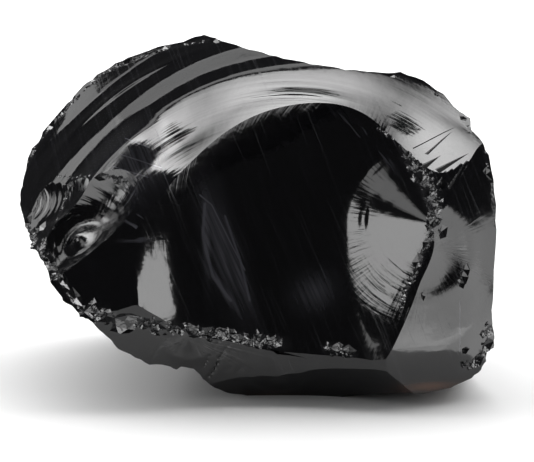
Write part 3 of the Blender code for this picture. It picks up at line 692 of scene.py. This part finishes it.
def scoop(surface, chip, side, dice):
    """One ball ready to cut: its points in the world, its centre and its reach."""
    across, up, radius, depth, stretch, bearing = chip
    spot, normal = sight_hit(surface, across, up, side)
    if spot is None:
        return None
    turn = math.radians(bearing)
    run = SHEET.to_3x3() @ Vector((math.cos(turn), math.sin(turn), 0))
    centre = spot + normal * (radius - depth) * MM
    shape = Matrix.Diagonal((radius * stretch * MM, radius * MM, radius * MM, 1))
    matrix = placed(centre, normal, run) @ shape
    points, faces = small_ball if radius < SMALL_CHIP else large_ball
    points = [matrix @ point for point in roughened(points, dice)]
    return points, centre, radius * stretch * MM, faces


def splinter(surface, tip, first_corner, second_corner, deep, share):
    """A four-cornered wedge that leaves a sharp splinter scar."""
    corners = [sight_hit(surface, *spot, 1) for spot in (tip, first_corner, second_corner)]
    if any(spot is None for spot, _ in corners):
        return None
    spots = [spot for spot, _ in corners]
    out = (corners[0][1] + corners[1][1] + corners[2][1]).normalized() * MM
    low = spots[1].lerp(spots[2], share) - out * deep
    points = [spots[0] + out * 0.2, spots[1] + out * 2, spots[2] + out * 2, low]
    centre = (spots[0] + spots[1] + spots[2]) / 3
    return points, centre, max((spot - centre).length for spot in spots), WEDGE_FACES


def sort_scoops(scoops):
    """Batches in which no ball comes near another."""
    batches = []
    clear = CHIP_CLEARANCE * (1 + CHIP_ROUGHNESS)
    for ball in scoops:
        for batch in batches:
            if all((ball[1] - other[1]).length > clear * (ball[2] + other[2])
                   for other in batch):
                batch.append(ball)
                break
        else:
            batches.append([ball])
    return batches


def join_scoops(batch, name):
    points, faces = [], []
    for ball, _, _, ball_faces in batch:
        start = len(points)
        points += ball
        faces += [tuple(start + corner for corner in face) for face in ball_faces]
    mesh = bpy.data.meshes.new(name)
    mesh.from_pydata(points, [], faces)
    item = bpy.data.objects.new(name, mesh)
    bpy.context.scene.collection.objects.link(item)
    bpy.context.view_layer.objects.active = item
    bpy.ops.object.mode_set(mode="EDIT")
    bpy.ops.mesh.select_all(action="SELECT")
    bpy.ops.mesh.normals_make_consistent(inside=False)
    bpy.ops.object.mode_set(mode="OBJECT")
    return item


dice = random.Random(7)
surface = BVHTree.FromObject(stone, bpy.context.evaluated_depsgraph_get())
found = [scoop(surface, chip, 1, dice) for chip in CHIPS + scattered_chips(dice)]
found += [scoop(surface, chip, -1, dice) for chip in BACK_CHIPS]
found += [splinter(surface, *spike) for spike in SPIKES]
batches = sort_scoops([ball for ball in found if ball])
for index, batch in enumerate(batches):
    cutter = join_scoops(batch, f"scoops_{index}")
    tag(cutter, CHIP_TAG)
    strike(stone, cutter)
print(sum(map(len, batches)), "scoops in", len(batches), "cutters,",
      len(stone.data.polygons), "faces")

# %% [markdown]
# ## The rest face
# A stone lies on its three lowest points, and nobody sees between them. One flat cut at floor
# level leaves the same contact, and the stone sits without rocking.

# %% Cut the stone flat at floor level
REST_BLOCK = 0.26
SLIVER = 2e-6
SMOOTH_ANGLE = math.radians(24)
bpy.ops.mesh.primitive_cube_add(size=REST_BLOCK, location=(0, 0, -REST_BLOCK / 2))
rest_block = bpy.context.object
tag(rest_block, 1)
strike(stone, rest_block)


def tidy_mesh(item):
    """Slivers from the cuts are closed up, and only real edges stay sharp."""
    bpy.ops.object.select_all(action="DESELECT")
    item.select_set(True)
    bpy.context.view_layer.objects.active = item
    bpy.ops.object.mode_set(mode="EDIT")
    bpy.ops.mesh.select_all(action="SELECT")
    bpy.ops.mesh.dissolve_degenerate(threshold=SLIVER)
    bpy.ops.mesh.quads_convert_to_tris()
    bpy.ops.object.mode_set(mode="OBJECT")
    bpy.ops.object.shade_smooth_by_angle(angle=SMOOTH_ANGLE)
    makers = np.empty(len(item.data.polygons), dtype=int)
    item.data.attributes["maker"].data.foreach_get("value", makers)
    item.data.polygons.foreach_set("use_smooth", makers != CHIP_TAG)


tidy_mesh(stone)
print("stone:", len(stone.data.polygons), "triangles")

# %% [markdown]
# ## Telling each scar its own rings
# The fine lines on a scar follow its own blow: ripples run round it and hackles run away from
# it. A picture could not do that, and one texture for the whole stone would run across the
# edges. So every corner of the mesh is told how far it lies from its blow and on what bearing.

# %% Distance and bearing from each blow
def corner_facts(mesh):
    """For every corner of the mesh: its place on the drawing and its face's maker."""
    spots = np.empty(3 * len(mesh.vertices))
    mesh.vertices.foreach_get("co", spots)
    corners = np.empty(len(mesh.loops), dtype=int)
    mesh.loops.foreach_get("vertex_index", corners)
    makers = np.empty(len(mesh.polygons), dtype=int)
    mesh.attributes["maker"].data.foreach_get("value", makers)
    totals = np.empty(len(mesh.polygons), dtype=int)
    mesh.polygons.foreach_get("loop_total", totals)
    sheet = carried(SHEET.inverted(), spots.reshape(-1, 3)[corners])
    return sheet, np.repeat(makers, totals)


def store(mesh, name, kind, values):
    layer = mesh.attributes.new(name, kind, "CORNER")
    layer.data.foreach_set("value" if kind == "FLOAT" else "vector", np.ravel(values))


sheet, makers = corner_facts(stone.data)
reach = np.hypot(sheet[:, 0] - DOME_CENTRE[0], sheet[:, 1] - DOME_CENTRE[1])
bearing = np.arctan2(sheet[:, 1] - DOME_CENTRE[1], sheet[:, 0] - DOME_CENTRE[0])
for number, scar in enumerate(SCARS, start=2):
    mine = makers == number
    local = carried(scar_place(scar).inverted(), sheet[mine])
    reach[mine] = np.hypot(local[:, 0], local[:, 1])
    bearing[mine] = np.arctan2(local[:, 1], local[:, 0])
store(stone.data, "reach", "FLOAT", reach)
ray = np.stack([np.cos(bearing), np.sin(bearing), 0.37 * makers], axis=1)
store(stone.data, "ray", "FLOAT_VECTOR", ray)
print("corners marked:", len(reach))

# %% [markdown]
# ## Masks laid out on the drawing
# Hackles, fine ripples, haze, painted highlights on short pale dashes beside the blow, painted
# light through a thin brown edge and crushed glass are not everywhere. Each has a mask: soft
# spots laid on the drawing, and for crushed glass the same lines that the scoops followed.
# Painting by hand would give this too, but a few numbers are easier to move than a brush stroke.

# %% Paint the masks
# (across, up, half length, half width, bearing of the length, strength)
HACKLE_SPOTS = [
    (25, -9, 4, 14, 175, 0.6), (24, 13, 5, 8, 60, 0.8), (-28, -16, 5, 12, 90, 1.0),
    (24, 22, 12, 5, 150, 0.8), (-32, 0, 6, 10, 60, 0.7), (50, -12, 12, 10, 60, 0.3),
    (-10, -36, 20, 4, 175, 1.0), (38, -26, 8, 5, 30, 0.8),
]
RIPPLE_SPOTS = [
    (8, 29, 16, 4, 0, 1.0), (-32, 12, 16, 8, 45, 1.0), (32, -16, 8, 8, 50, 0.8),
    (-44, -1, 12, 10, 30, 0.8), (-52, 4, 8, 8, 60, 0.8), (40, 26, 12, 6, 160, 0.3),
    (-22, 15, 6, 12, 30, 1.0), (-8, 26, 22, 6, 15, 0.5),
]
HAZE_SPOTS = [
    (-8.5, -9, 13, 3, 106, 0.7), (-5.5, -14, 10, 1.6, 112, 0.8), (-30, 12, 9, 7, 30, 0.35),
    (-12.6, -6, 9, 0.9, 92, 1.0), (-8.6, -19, 7, 0.9, 124, 1.0), (14, -20, 5, 4, 30, 0.5),
]
# Painted light: spots at the foot tinted brown as if light shone through thin edges
PAINTED_GLOW_SPOTS = [(43, -43.6, 6, 1.0, 4, 0.8), (3, -47.2, 7, 1.4, 0, 0.8)]
# Painted highlights: short pale dashes by the blow that stand for glints on hackle lines
LASH_HIGHLIGHT_SPOTS = [(31, 17.5, 10, 3, -38, 1.0), (-31, -2, 9, 3, 100, 0.7)]
CRUSH_REACH = 1.3
BEHIND_FRONT, BEHIND_UPPER = -40, -12
LEAST_HACKLE, LEAST_RIPPLE = 0.06, 0.05


def front_place(sheet):
    """Where each point appears on the front of the drawing."""
    scale = SIGHT_DISTANCE / (SIGHT_DISTANCE - sheet[:, 2])
    return sheet[:, 0] * scale, sheet[:, 1] * scale


def soft_spots(across, up, rows):
    mask = np.zeros(len(across))
    for x, y, long, short, turn, strength in rows:
        c, s = math.cos(math.radians(turn)), math.sin(math.radians(turn))
        along = ((across - x) * c + (up - y) * s) / long
        aside = ((up - y) * c - (across - x) * s) / short
        mask = np.maximum(mask, strength * np.exp(-along**2 - aside**2))
    return mask


def near_lines(across, up, lines):
    mask = np.zeros(len(across))
    for points, width, _, _ in lines:
        for (x0, y0), (x1, y1) in zip(points, points[1:]):
            dx, dy = x1 - x0, y1 - y0
            share = ((across - x0) * dx + (up - y0) * dy) / (dx * dx + dy * dy)
            share = np.clip(share, 0, 1)
            far = np.hypot(across - x0 - share * dx, up - y0 - share * dy)
            mask = np.maximum(mask, 1 - ease(far, 0.3 * width, CRUSH_REACH * width + 0.3))
    return mask


across, up = front_place(sheet)
front = sheet[:, 2] > BEHIND_FRONT
upper = sheet[:, 2] > BEHIND_UPPER
chipped = makers == CHIP_TAG
crush = near_lines(across, up, CRUSHED_LINES.values()) * front
crush = np.maximum(0.25 * crush, chipped * (0.2 + 0.5 * crush))
store(stone.data, "crush", "FLOAT", crush)
masks = {
    "hackle": (HACKLE_SPOTS, front, LEAST_HACKLE), "ripple": (RIPPLE_SPOTS, front, LEAST_RIPPLE),
    "haze": (HAZE_SPOTS, upper, 0), "lash_highlight": (LASH_HIGHLIGHT_SPOTS, upper, 0), "painted_glow": (PAINTED_GLOW_SPOTS, 1, 0),
}
for name, (spots, where, least) in masks.items():
    mask = np.maximum(soft_spots(across, up, spots) * where, least)
    store(stone.data, name, "FLOAT", mask)
print("masks painted, crushed corners:", int((crush > 0.3).sum()))

# %% [markdown]
# ## Sums with sockets
# A shader is a long sum, and node by node it is hard to read. One small class wraps a socket
# and understands plus, minus and times, so that a pattern can be written as plain arithmetic.

# %% A socket that can be added up
class Signal:
    """A value on its way through the node tree."""

    def __init__(self, tree, socket=None):
        self.tree = tree
        self.socket = socket

    def node(self, kind, settings=None, values=None, output=0):
        made = self.tree.nodes.new(kind)
        for name, setting in (settings or {}).items():
            setattr(made, name, setting)
        for key, value in (values or {}).items():
            if isinstance(value, Signal):
                self.tree.links.new(value.socket, made.inputs[key])
            else:
                made.inputs[key].default_value = value
        return Signal(self.tree, made.outputs[output])

    def maths(self, operation, first, second=0.0):
        values = {0: first, 1: second}
        return self.node("ShaderNodeMath", {"operation": operation}, values)

    def between(self, low, high):
        """0 below `low`, 1 above `high`, and a soft step from one to the other."""
        settings = {"interpolation_type": "SMOOTHSTEP"}
        return self.node("ShaderNodeMapRange", settings,
                         {"Value": self, "From Min": low, "From Max": high})

    def __add__(self, other):
        return self.maths("ADD", self, other)

    def __radd__(self, other):
        return self.maths("ADD", other, self)

    def __sub__(self, other):
        return self.maths("SUBTRACT", self, other)

    def __rsub__(self, other):
        return self.maths("SUBTRACT", other, self)

    def __mul__(self, other):
        return self.maths("MULTIPLY", self, other)

    def __rmul__(self, other):
        return self.maths("MULTIPLY", other, self)


print("signals ready")

# %% [markdown]
# ## The glass
# Obsidian is nearly black and mirrors like a window, so almost nothing in it is colour. What
# makes it look real is what breaks the mirror: ripples, hackles, long fine scratches, a dusty
# haze, and crushed places that turn pale because their thousand faces scatter the light.

# %% The glass and its marks
GLASS_DARK = (0.0022, 0.0022, 0.0028, 1)
# Pale colour of haze, dust and scratches, also used for the painted highlights beside the blow
GLASS_HAZE_AND_HIGHLIGHT = (0.055, 0.055, 0.064, 1)
GLASS_CRUSHED = (0.03, 0.03, 0.032, 1)
GLASS_IOR = 1.5
SCRATCH_BEARINGS = (-69.5, -66.0)
# Painted light: a brown colour standing for light shining through thin edges
GLASS_PAINTED_GLOW = (0.10, 0.04, 0.018, 1)
# Scratches that stand out one by one: (points, width, strength)
HAIRLINES = [
    ([(-14.3, 4.3), (-11.3, 1.8), (-6.3, -8.3), (-3, -14.5)], 0.18, 5.0),
    ([(-33, 18.5), (-26.8, 16)], 0.15, 1.6),
    ([(-33.8, 14.3), (-23.8, 11)], 0.15, 1.6),
    ([(-36, 11.4), (-27, 8.6)], 0.14, 1.0),
    ([(-13, 2), (-13.5, -6), (-11, -16), (-6.5, -22)], 0.5, 0.6),
    ([(-8, -1), (-4.2, -12), (-1.8, -22)], 0.4, 0.6),
    ([(50, -22), (50.2, -34.5)], 0.16, 1.2),
]


def mark_reader(first):
    """Reads the marks that the mesh carries."""
    def read(name, output="Fac"):
        return first.node("ShaderNodeAttribute", {"attribute_name": name}, output=output)
    return read


def noise(first, vector, scale, detail=2.0, rough=0.5):
    return first.node("ShaderNodeTexNoise", {"noise_dimensions": "3D"}, {
        "Vector": vector, "Scale": scale, "Detail": detail, "Roughness": rough,
    })


def vector_of(first, x, y, z):
    return first.node("ShaderNodeCombineXYZ", None, {0: x, 1: y, 2: z})


def drawing_coordinates(first):
    """Across, up and out in millimetres, read from the piece's own coordinates."""
    place = first.node("ShaderNodeTexCoord", output="Object")
    turned = first.node("ShaderNodeMapping", None, {
        "Vector": place,
        "Location": (0, -FRONT_HEIGHT * rise, -FRONT_HEIGHT * lean),
        "Rotation": (FRONT_TILT - math.pi / 2, 0, 0),
        "Scale": (1 / MM, 1 / MM, 1 / MM),
    })
    parts = [first.node("ShaderNodeSeparateXYZ", None, {0: turned}, output=i) for i in range(3)]
    return turned, parts


def scratch_lines(first, parts, bearing, seed):
    """Long hairlines that all run one way, broken up along their length."""
    c, s = math.cos(math.radians(bearing)), math.sin(math.radians(bearing))
    along = parts[0] * c + parts[1] * s
    aside = parts[1] * c - parts[0] * s
    lines = noise(first, vector_of(first, along * 0.012, aside * 2.4, seed), 1.0, 1.0)
    gaps = noise(first, vector_of(first, along * 0.09, aside * 0.5, seed + 5), 1.0, 1.0)
    return lines.between(0.60, 0.69) * gaps.between(0.36, 0.62)


def hairline(first, parts, points, width):
    """One drawn scratch: 1 along a line through `points`, 0 beside it."""
    line = None
    for (x0, y0), (x1, y1) in zip(points, points[1:]):
        dx, dy = x1 - x0, y1 - y0
        over, above = parts[0] - x0, parts[1] - y0
        share = (over * dx + above * dy) * (1 / (dx * dx + dy * dy))
        share = share.node("ShaderNodeClamp", None, {0: share})
        over, above = over - share * dx, above - share * dy
        squared = over * over + above * above
        far = squared.maths("SQRT", squared)
        near = 1 - far.between(0.3 * width, width)
        line = near if line is None else line.maths("MAXIMUM", line, near)
    return line


def scratch_grain(first, parts, bearing):
    """A fine grain drawn out along one bearing."""
    c, s = math.cos(math.radians(bearing)), math.sin(math.radians(bearing))
    along = parts[0] * c + parts[1] * s
    aside = parts[1] * c - parts[0] * s
    return noise(first, vector_of(first, along * 0.06, aside * 1.3, 3.0), 1.0, 3.0)


def glass():
    material = bpy.data.materials.new("obsidian_glass")
    material.use_nodes = True
    tree = material.node_tree
    shader = tree.nodes["Principled BSDF"]
    first = Signal(tree)
    read = mark_reader(first)
    place, parts = drawing_coordinates(first)
    reach, ray = read("reach"), read("ray", "Vector")
    crush, hackle, ripple = (read(name) for name in ("crush", "hackle", "ripple"))
    haze, lash_highlight, painted_glow = (read(name) for name in ("haze", "lash_highlight", "painted_glow"))

    fan = first.node("ShaderNodeVectorMath", {"operation": "MULTIPLY_ADD"},
                     {0: ray, 1: (26, 26, 9), 2: vector_of(first, 0, 0, reach * 0.06)})
    hackle_lines = noise(first, fan, 1.0, 3.0, 0.55)
    rings = first.node("ShaderNodeVectorMath", {"operation": "MULTIPLY_ADD"},
                       {0: ray, 1: (1.1, 1.1, 9), 2: vector_of(first, 0, 0, reach * 0.9)})
    ripple_lines = noise(first, rings, 1.0, 3.0, 0.6)
    scratches = scratch_lines(first, parts, SCRATCH_BEARINGS[0], 0.0)
    scratches = scratches + scratch_lines(first, parts, SCRATCH_BEARINGS[1], 9.0)
    grains = first.node("ShaderNodeTexVoronoi", {"feature": "F1"},
                        {"Vector": place, "Scale": 1.4})
    dust = noise(first, place, 2.2, 3.0, 0.7).between(0.70, 0.80)
    cloud = noise(first, place, 0.07, 2.0)
    streaks = scratch_grain(first, parts, SCRATCH_BEARINGS[1]).between(0.35, 0.75)

    height = hackle_lines * hackle * 0.16 + ripple_lines * ripple * 0.16
    height = height + grains * crush * 0.10 + noise(first, place, 0.25, 2.0) * 0.05
    bump = first.node("ShaderNodeBump", None, {
        "Strength": 1.0, "Distance": MM, "Height": height,
    })
    # Pale marks: real haze, scratches and dust, plus painted highlights on dashes beside the
    # blow
    pale = haze * (0.5 + streaks) + scratches * 0.12 + dust * 0.2
    for points, width, strength in HAIRLINES:
        pale = pale + hairline(first, parts, points, width) * strength
    # Painted highlights: pale dashes along the hackles beside the blow
    pale = pale + lash_highlight * hackle_lines.between(0.56, 0.66) * 1.4
    pale = pale.node("ShaderNodeClamp", None, {0: pale})
    colour = first.node("ShaderNodeMix", {"data_type": "RGBA"},
                        {"Factor": pale, 6: GLASS_DARK, 7: GLASS_HAZE_AND_HIGHLIGHT}, output=2)
    colour = first.node("ShaderNodeMix", {"data_type": "RGBA"},
                        {"Factor": crush * 0.8, 6: colour, 7: GLASS_CRUSHED}, output=2)
    # Painted light: thin edges tinted brown as if light shone through them
    colour = first.node("ShaderNodeMix", {"data_type": "RGBA"},
                        {"Factor": painted_glow, 6: colour, 7: GLASS_PAINTED_GLOW}, output=2)
    roughness = 0.05 + cloud * 0.06 + crush * 0.04 + scratches * 0.08 + haze * 0.08
    tree.links.new(colour.socket, shader.inputs["Base Color"])
    tree.links.new(roughness.socket, shader.inputs["Roughness"])
    tree.links.new(bump.socket, shader.inputs["Normal"])
    shader.inputs["IOR"].default_value = GLASS_IOR
    return material


stone.data.materials.clear()
stone.data.materials.append(glass())
print("nodes in the glass:", len(stone.data.materials[0].node_tree.nodes))

# %% [markdown]
# ## Standing in for the frame
# The plain faceted solid stays for the physics. The fine stone lies in the same place, rides
# on the same body, and is what is seen.

# %% The fine stone replaces the plain one
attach(stone, "root")
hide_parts("obsidian_chunk")
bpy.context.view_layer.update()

# %% [markdown]
# ## The floor
# Black glass shows its surroundings, so the white floor is part of its look: the lower faces
# mirror it. A dull white sheet is enough, and a faint mottling keeps it from looking like a
# cut-out.

# %% The floor
FLOOR_SIZE = 6.0
FLOOR_WHITE = (0.90, 0.90, 0.90, 1)
FLOOR_GREY = (0.86, 0.86, 0.86, 1)

bpy.ops.mesh.primitive_plane_add(size=FLOOR_SIZE)
floor = bpy.context.object
floor.name = "floor"
floor_material = bpy.data.materials.new("floor_white")
floor_material.use_nodes = True
floor_shader = floor_material.node_tree.nodes["Principled BSDF"]
sheet_white = Signal(floor_material.node_tree)
floor_place = sheet_white.node("ShaderNodeTexCoord", output="Object")
mottle = noise(sheet_white, floor_place, 3.0)
white = sheet_white.node("ShaderNodeMix", {"data_type": "RGBA"},
                         {"Factor": mottle, 6: FLOOR_GREY, 7: FLOOR_WHITE}, output=2)
floor_material.node_tree.links.new(white.socket, floor_shader.inputs["Base Color"])
floor_shader.inputs["Roughness"].default_value = 0.9
floor_shader.inputs["Specular IOR Level"].default_value = 0.0
floor.data.materials.append(floor_material)
print("floor", FLOOR_SIZE, "m wide")

# %% [markdown]
# ## Light
# A polished black thing is lit by what it mirrors. Long soft lamps above make the pale bands
# of the upper face, smaller ones at the sides pick out the ends, and two pale cards on the
# table light the lower facets. Lamps that are not mirrored light the floor. A black card in
# front keeps the central scar black.

# %% Soft lamps, cards and a dim room
# On the drawing: (direction round the sheet, angle off the line of sight, width across that
# direction, length along it, brightness, spread of its beam in degrees). A facet that leans
# by some angle mirrors the lamp at twice that angle.
LAMPS = {
    "lamp_top": (96, 80, 1.5, 0.466, 4.8, 95),
    "lamp_top_far": (100, 102.5, 1.10, 0.173, 2.1, 180),
    "lamp_right": (18, 56, 0.42, 0.215, 6.8, 180),
    "lamp_right_low": (0, 71, 0.26, 0.46, 3.0, 180),
    "lamp_left": (186, 56, 0.44, 0.40, 6.6, 180),
    "lamp_left_far": (144, 95, 0.38, 0.34, 2.8, 180),
    "lamp_left_high": (142, 57, 0.28, 0.39, 2.4, 180),
}
# Pale cards that lie beside the stone, out of the picture: (x, y, width, length, brightness)
CARDS = {
    "card_right": (0.38, -0.141, 0.62, 0.258, 2.3),
    "card_front": (-0.02, -0.15, 0.34, 0.184, 2.3),
}
# The long lamp is tipped a little, so what mirrors its far side is darker
LAMP_TILT = {"lamp_top": -25}
# Lamps that light the floor and aren't mirrored: (place, width, length, brightness)
FLOOR_LAMPS = {
    "floor_top": ((0.02, 0.60, 1.10), 3.2, 1.0, 4.4),
    "floor_left": ((-1.2, 0.15, 0.45), 0.9, 0.9, 2.5),
    "floor_right": ((1.2, 0.15, 0.45), 0.9, 0.9, 2.0),
}
# (x, y, width, length)
BLACK_CARD = (0.25, -1.64, 3.5, 2.72)
CARD_HEIGHT = 0.004
LAMP_DISTANCE = 900.0
ROOM_MIRRORED = 0.05
ROOM_FILL = 0.12


def lamp(name, wide, long, brightness, spread=180):
    """A soft lamp that the camera doesn't see; watts follow from size and brightness."""
    light = bpy.data.lights.new(name, "AREA")
    light.shape = "RECTANGLE"
    light.size, light.size_y = wide, long
    light.energy = brightness * math.pi * wide * long
    light.spread = math.radians(spread)
    item = bpy.data.objects.new(name, light)
    bpy.context.scene.collection.objects.link(item)
    item.visible_camera = False
    return item


def hang(item, direction, off_sight):
    """Hang a lamp at a direction on the drawing, facing the stone."""
    turn, off = math.radians(direction), math.radians(off_sight)
    away = Vector((math.sin(off) * math.cos(turn), math.sin(off) * math.sin(turn),
                   math.cos(off)))
    aside = Vector((-math.sin(turn), math.cos(turn), 0))
    tilt = Matrix.Rotation(math.radians(LAMP_TILT.get(item.name, 0)), 3, "X")
    turned = SHEET.to_3x3().normalized() @ placed((0, 0, 0), away, aside).to_3x3() @ tilt
    item.matrix_world = Matrix.Translation(SHEET @ (away * LAMP_DISTANCE)) @ turned.to_4x4()


for name, (direction, off_sight, wide, long, brightness, spread) in LAMPS.items():
    item = lamp(name, wide, long, brightness, spread)
    hang(item, direction, off_sight)
    item.visible_diffuse = False
for name, (x, y, wide, long, brightness) in CARDS.items():
    item = lamp(name, wide, long, brightness)
    item.location = (x, y, CARD_HEIGHT)
    item.rotation_euler = (math.pi, 0, 0)
    item.visible_diffuse = False
for name, (place, wide, long, brightness) in FLOOR_LAMPS.items():
    item = lamp(name, wide, long, brightness)
    item.location = place
    item.rotation_euler = Vector(place).to_track_quat("Z", "Y").to_euler()
    item.visible_glossy = False


def black_card(x, y, wide, long):
    """A black sheet in front, which only the glass sees: it keeps the central scar dark."""
    bpy.ops.mesh.primitive_plane_add(size=1, location=(x, y, CARD_HEIGHT + MM))
    item = bpy.context.object
    item.name = "black_card"
    item.scale = (wide, long, 1)
    for ray in ("camera", "diffuse", "shadow"):
        setattr(item, "visible_" + ray, False)
    paint = bpy.data.materials.new("card_black")
    paint.use_nodes = True
    paint.node_tree.nodes["Principled BSDF"].inputs["Base Color"].default_value = (0, 0, 0, 1)
    item.data.materials.append(paint)


black_card(*BLACK_CARD)


def room():
    """White to the camera, dim in reflections, and a soft fill for everything else."""
    world = bpy.data.worlds.new("room")
    world.use_nodes = True
    tree = world.node_tree
    tree.nodes.clear()
    first = Signal(tree)
    rays = {name: first.node("ShaderNodeLightPath", output=name)
            for name in ("Is Camera Ray", "Is Glossy Ray")}
    level = ROOM_FILL + rays["Is Glossy Ray"] * (ROOM_MIRRORED - ROOM_FILL)
    level = level + rays["Is Camera Ray"] * (1 - ROOM_FILL)
    light = first.node("ShaderNodeBackground", None, {"Color": (1, 1, 1, 1), "Strength": level})
    output = tree.nodes.new("ShaderNodeOutputWorld")
    tree.links.new(light.socket, output.inputs[0])
    return world


bpy.context.scene.world = room()
bpy.context.scene.view_settings.view_transform = "Standard"
print("lamps:", list(LAMPS))

# %% [markdown]
# ## The camera
# A long lens far away keeps the faces in proportion. It looks along the line of sight that the
# drawing plane was laid out for, and a small shift puts the stone a little left of the middle.

# %% The camera
PICTURE_WIDTH, PICTURE_HEIGHT = 534, 462
DRAWING_CENTRE = (257, 212)
LENS, SENSOR = 150.0, 36.0

camera_data = bpy.data.cameras.new("camera")
camera = bpy.data.objects.new("camera", camera_data)
bpy.context.scene.collection.objects.link(camera)
camera_data.lens = LENS
camera_data.sensor_width = SENSOR
camera_data.sensor_fit = "HORIZONTAL"
camera_data.shift_x = (PICTURE_WIDTH / 2 - DRAWING_CENTRE[0]) / PICTURE_WIDTH
camera_data.shift_y = -(PICTURE_HEIGHT / 2 - DRAWING_CENTRE[1]) / PICTURE_WIDTH
camera.matrix_world = (Matrix.Translation(SHEET @ Vector((0, 0, SIGHT_DISTANCE)))
                       @ SHEET.to_3x3().normalized().to_4x4())
bpy.context.scene.camera = camera
print("camera stands", round(SIGHT_DISTANCE), "mm away")
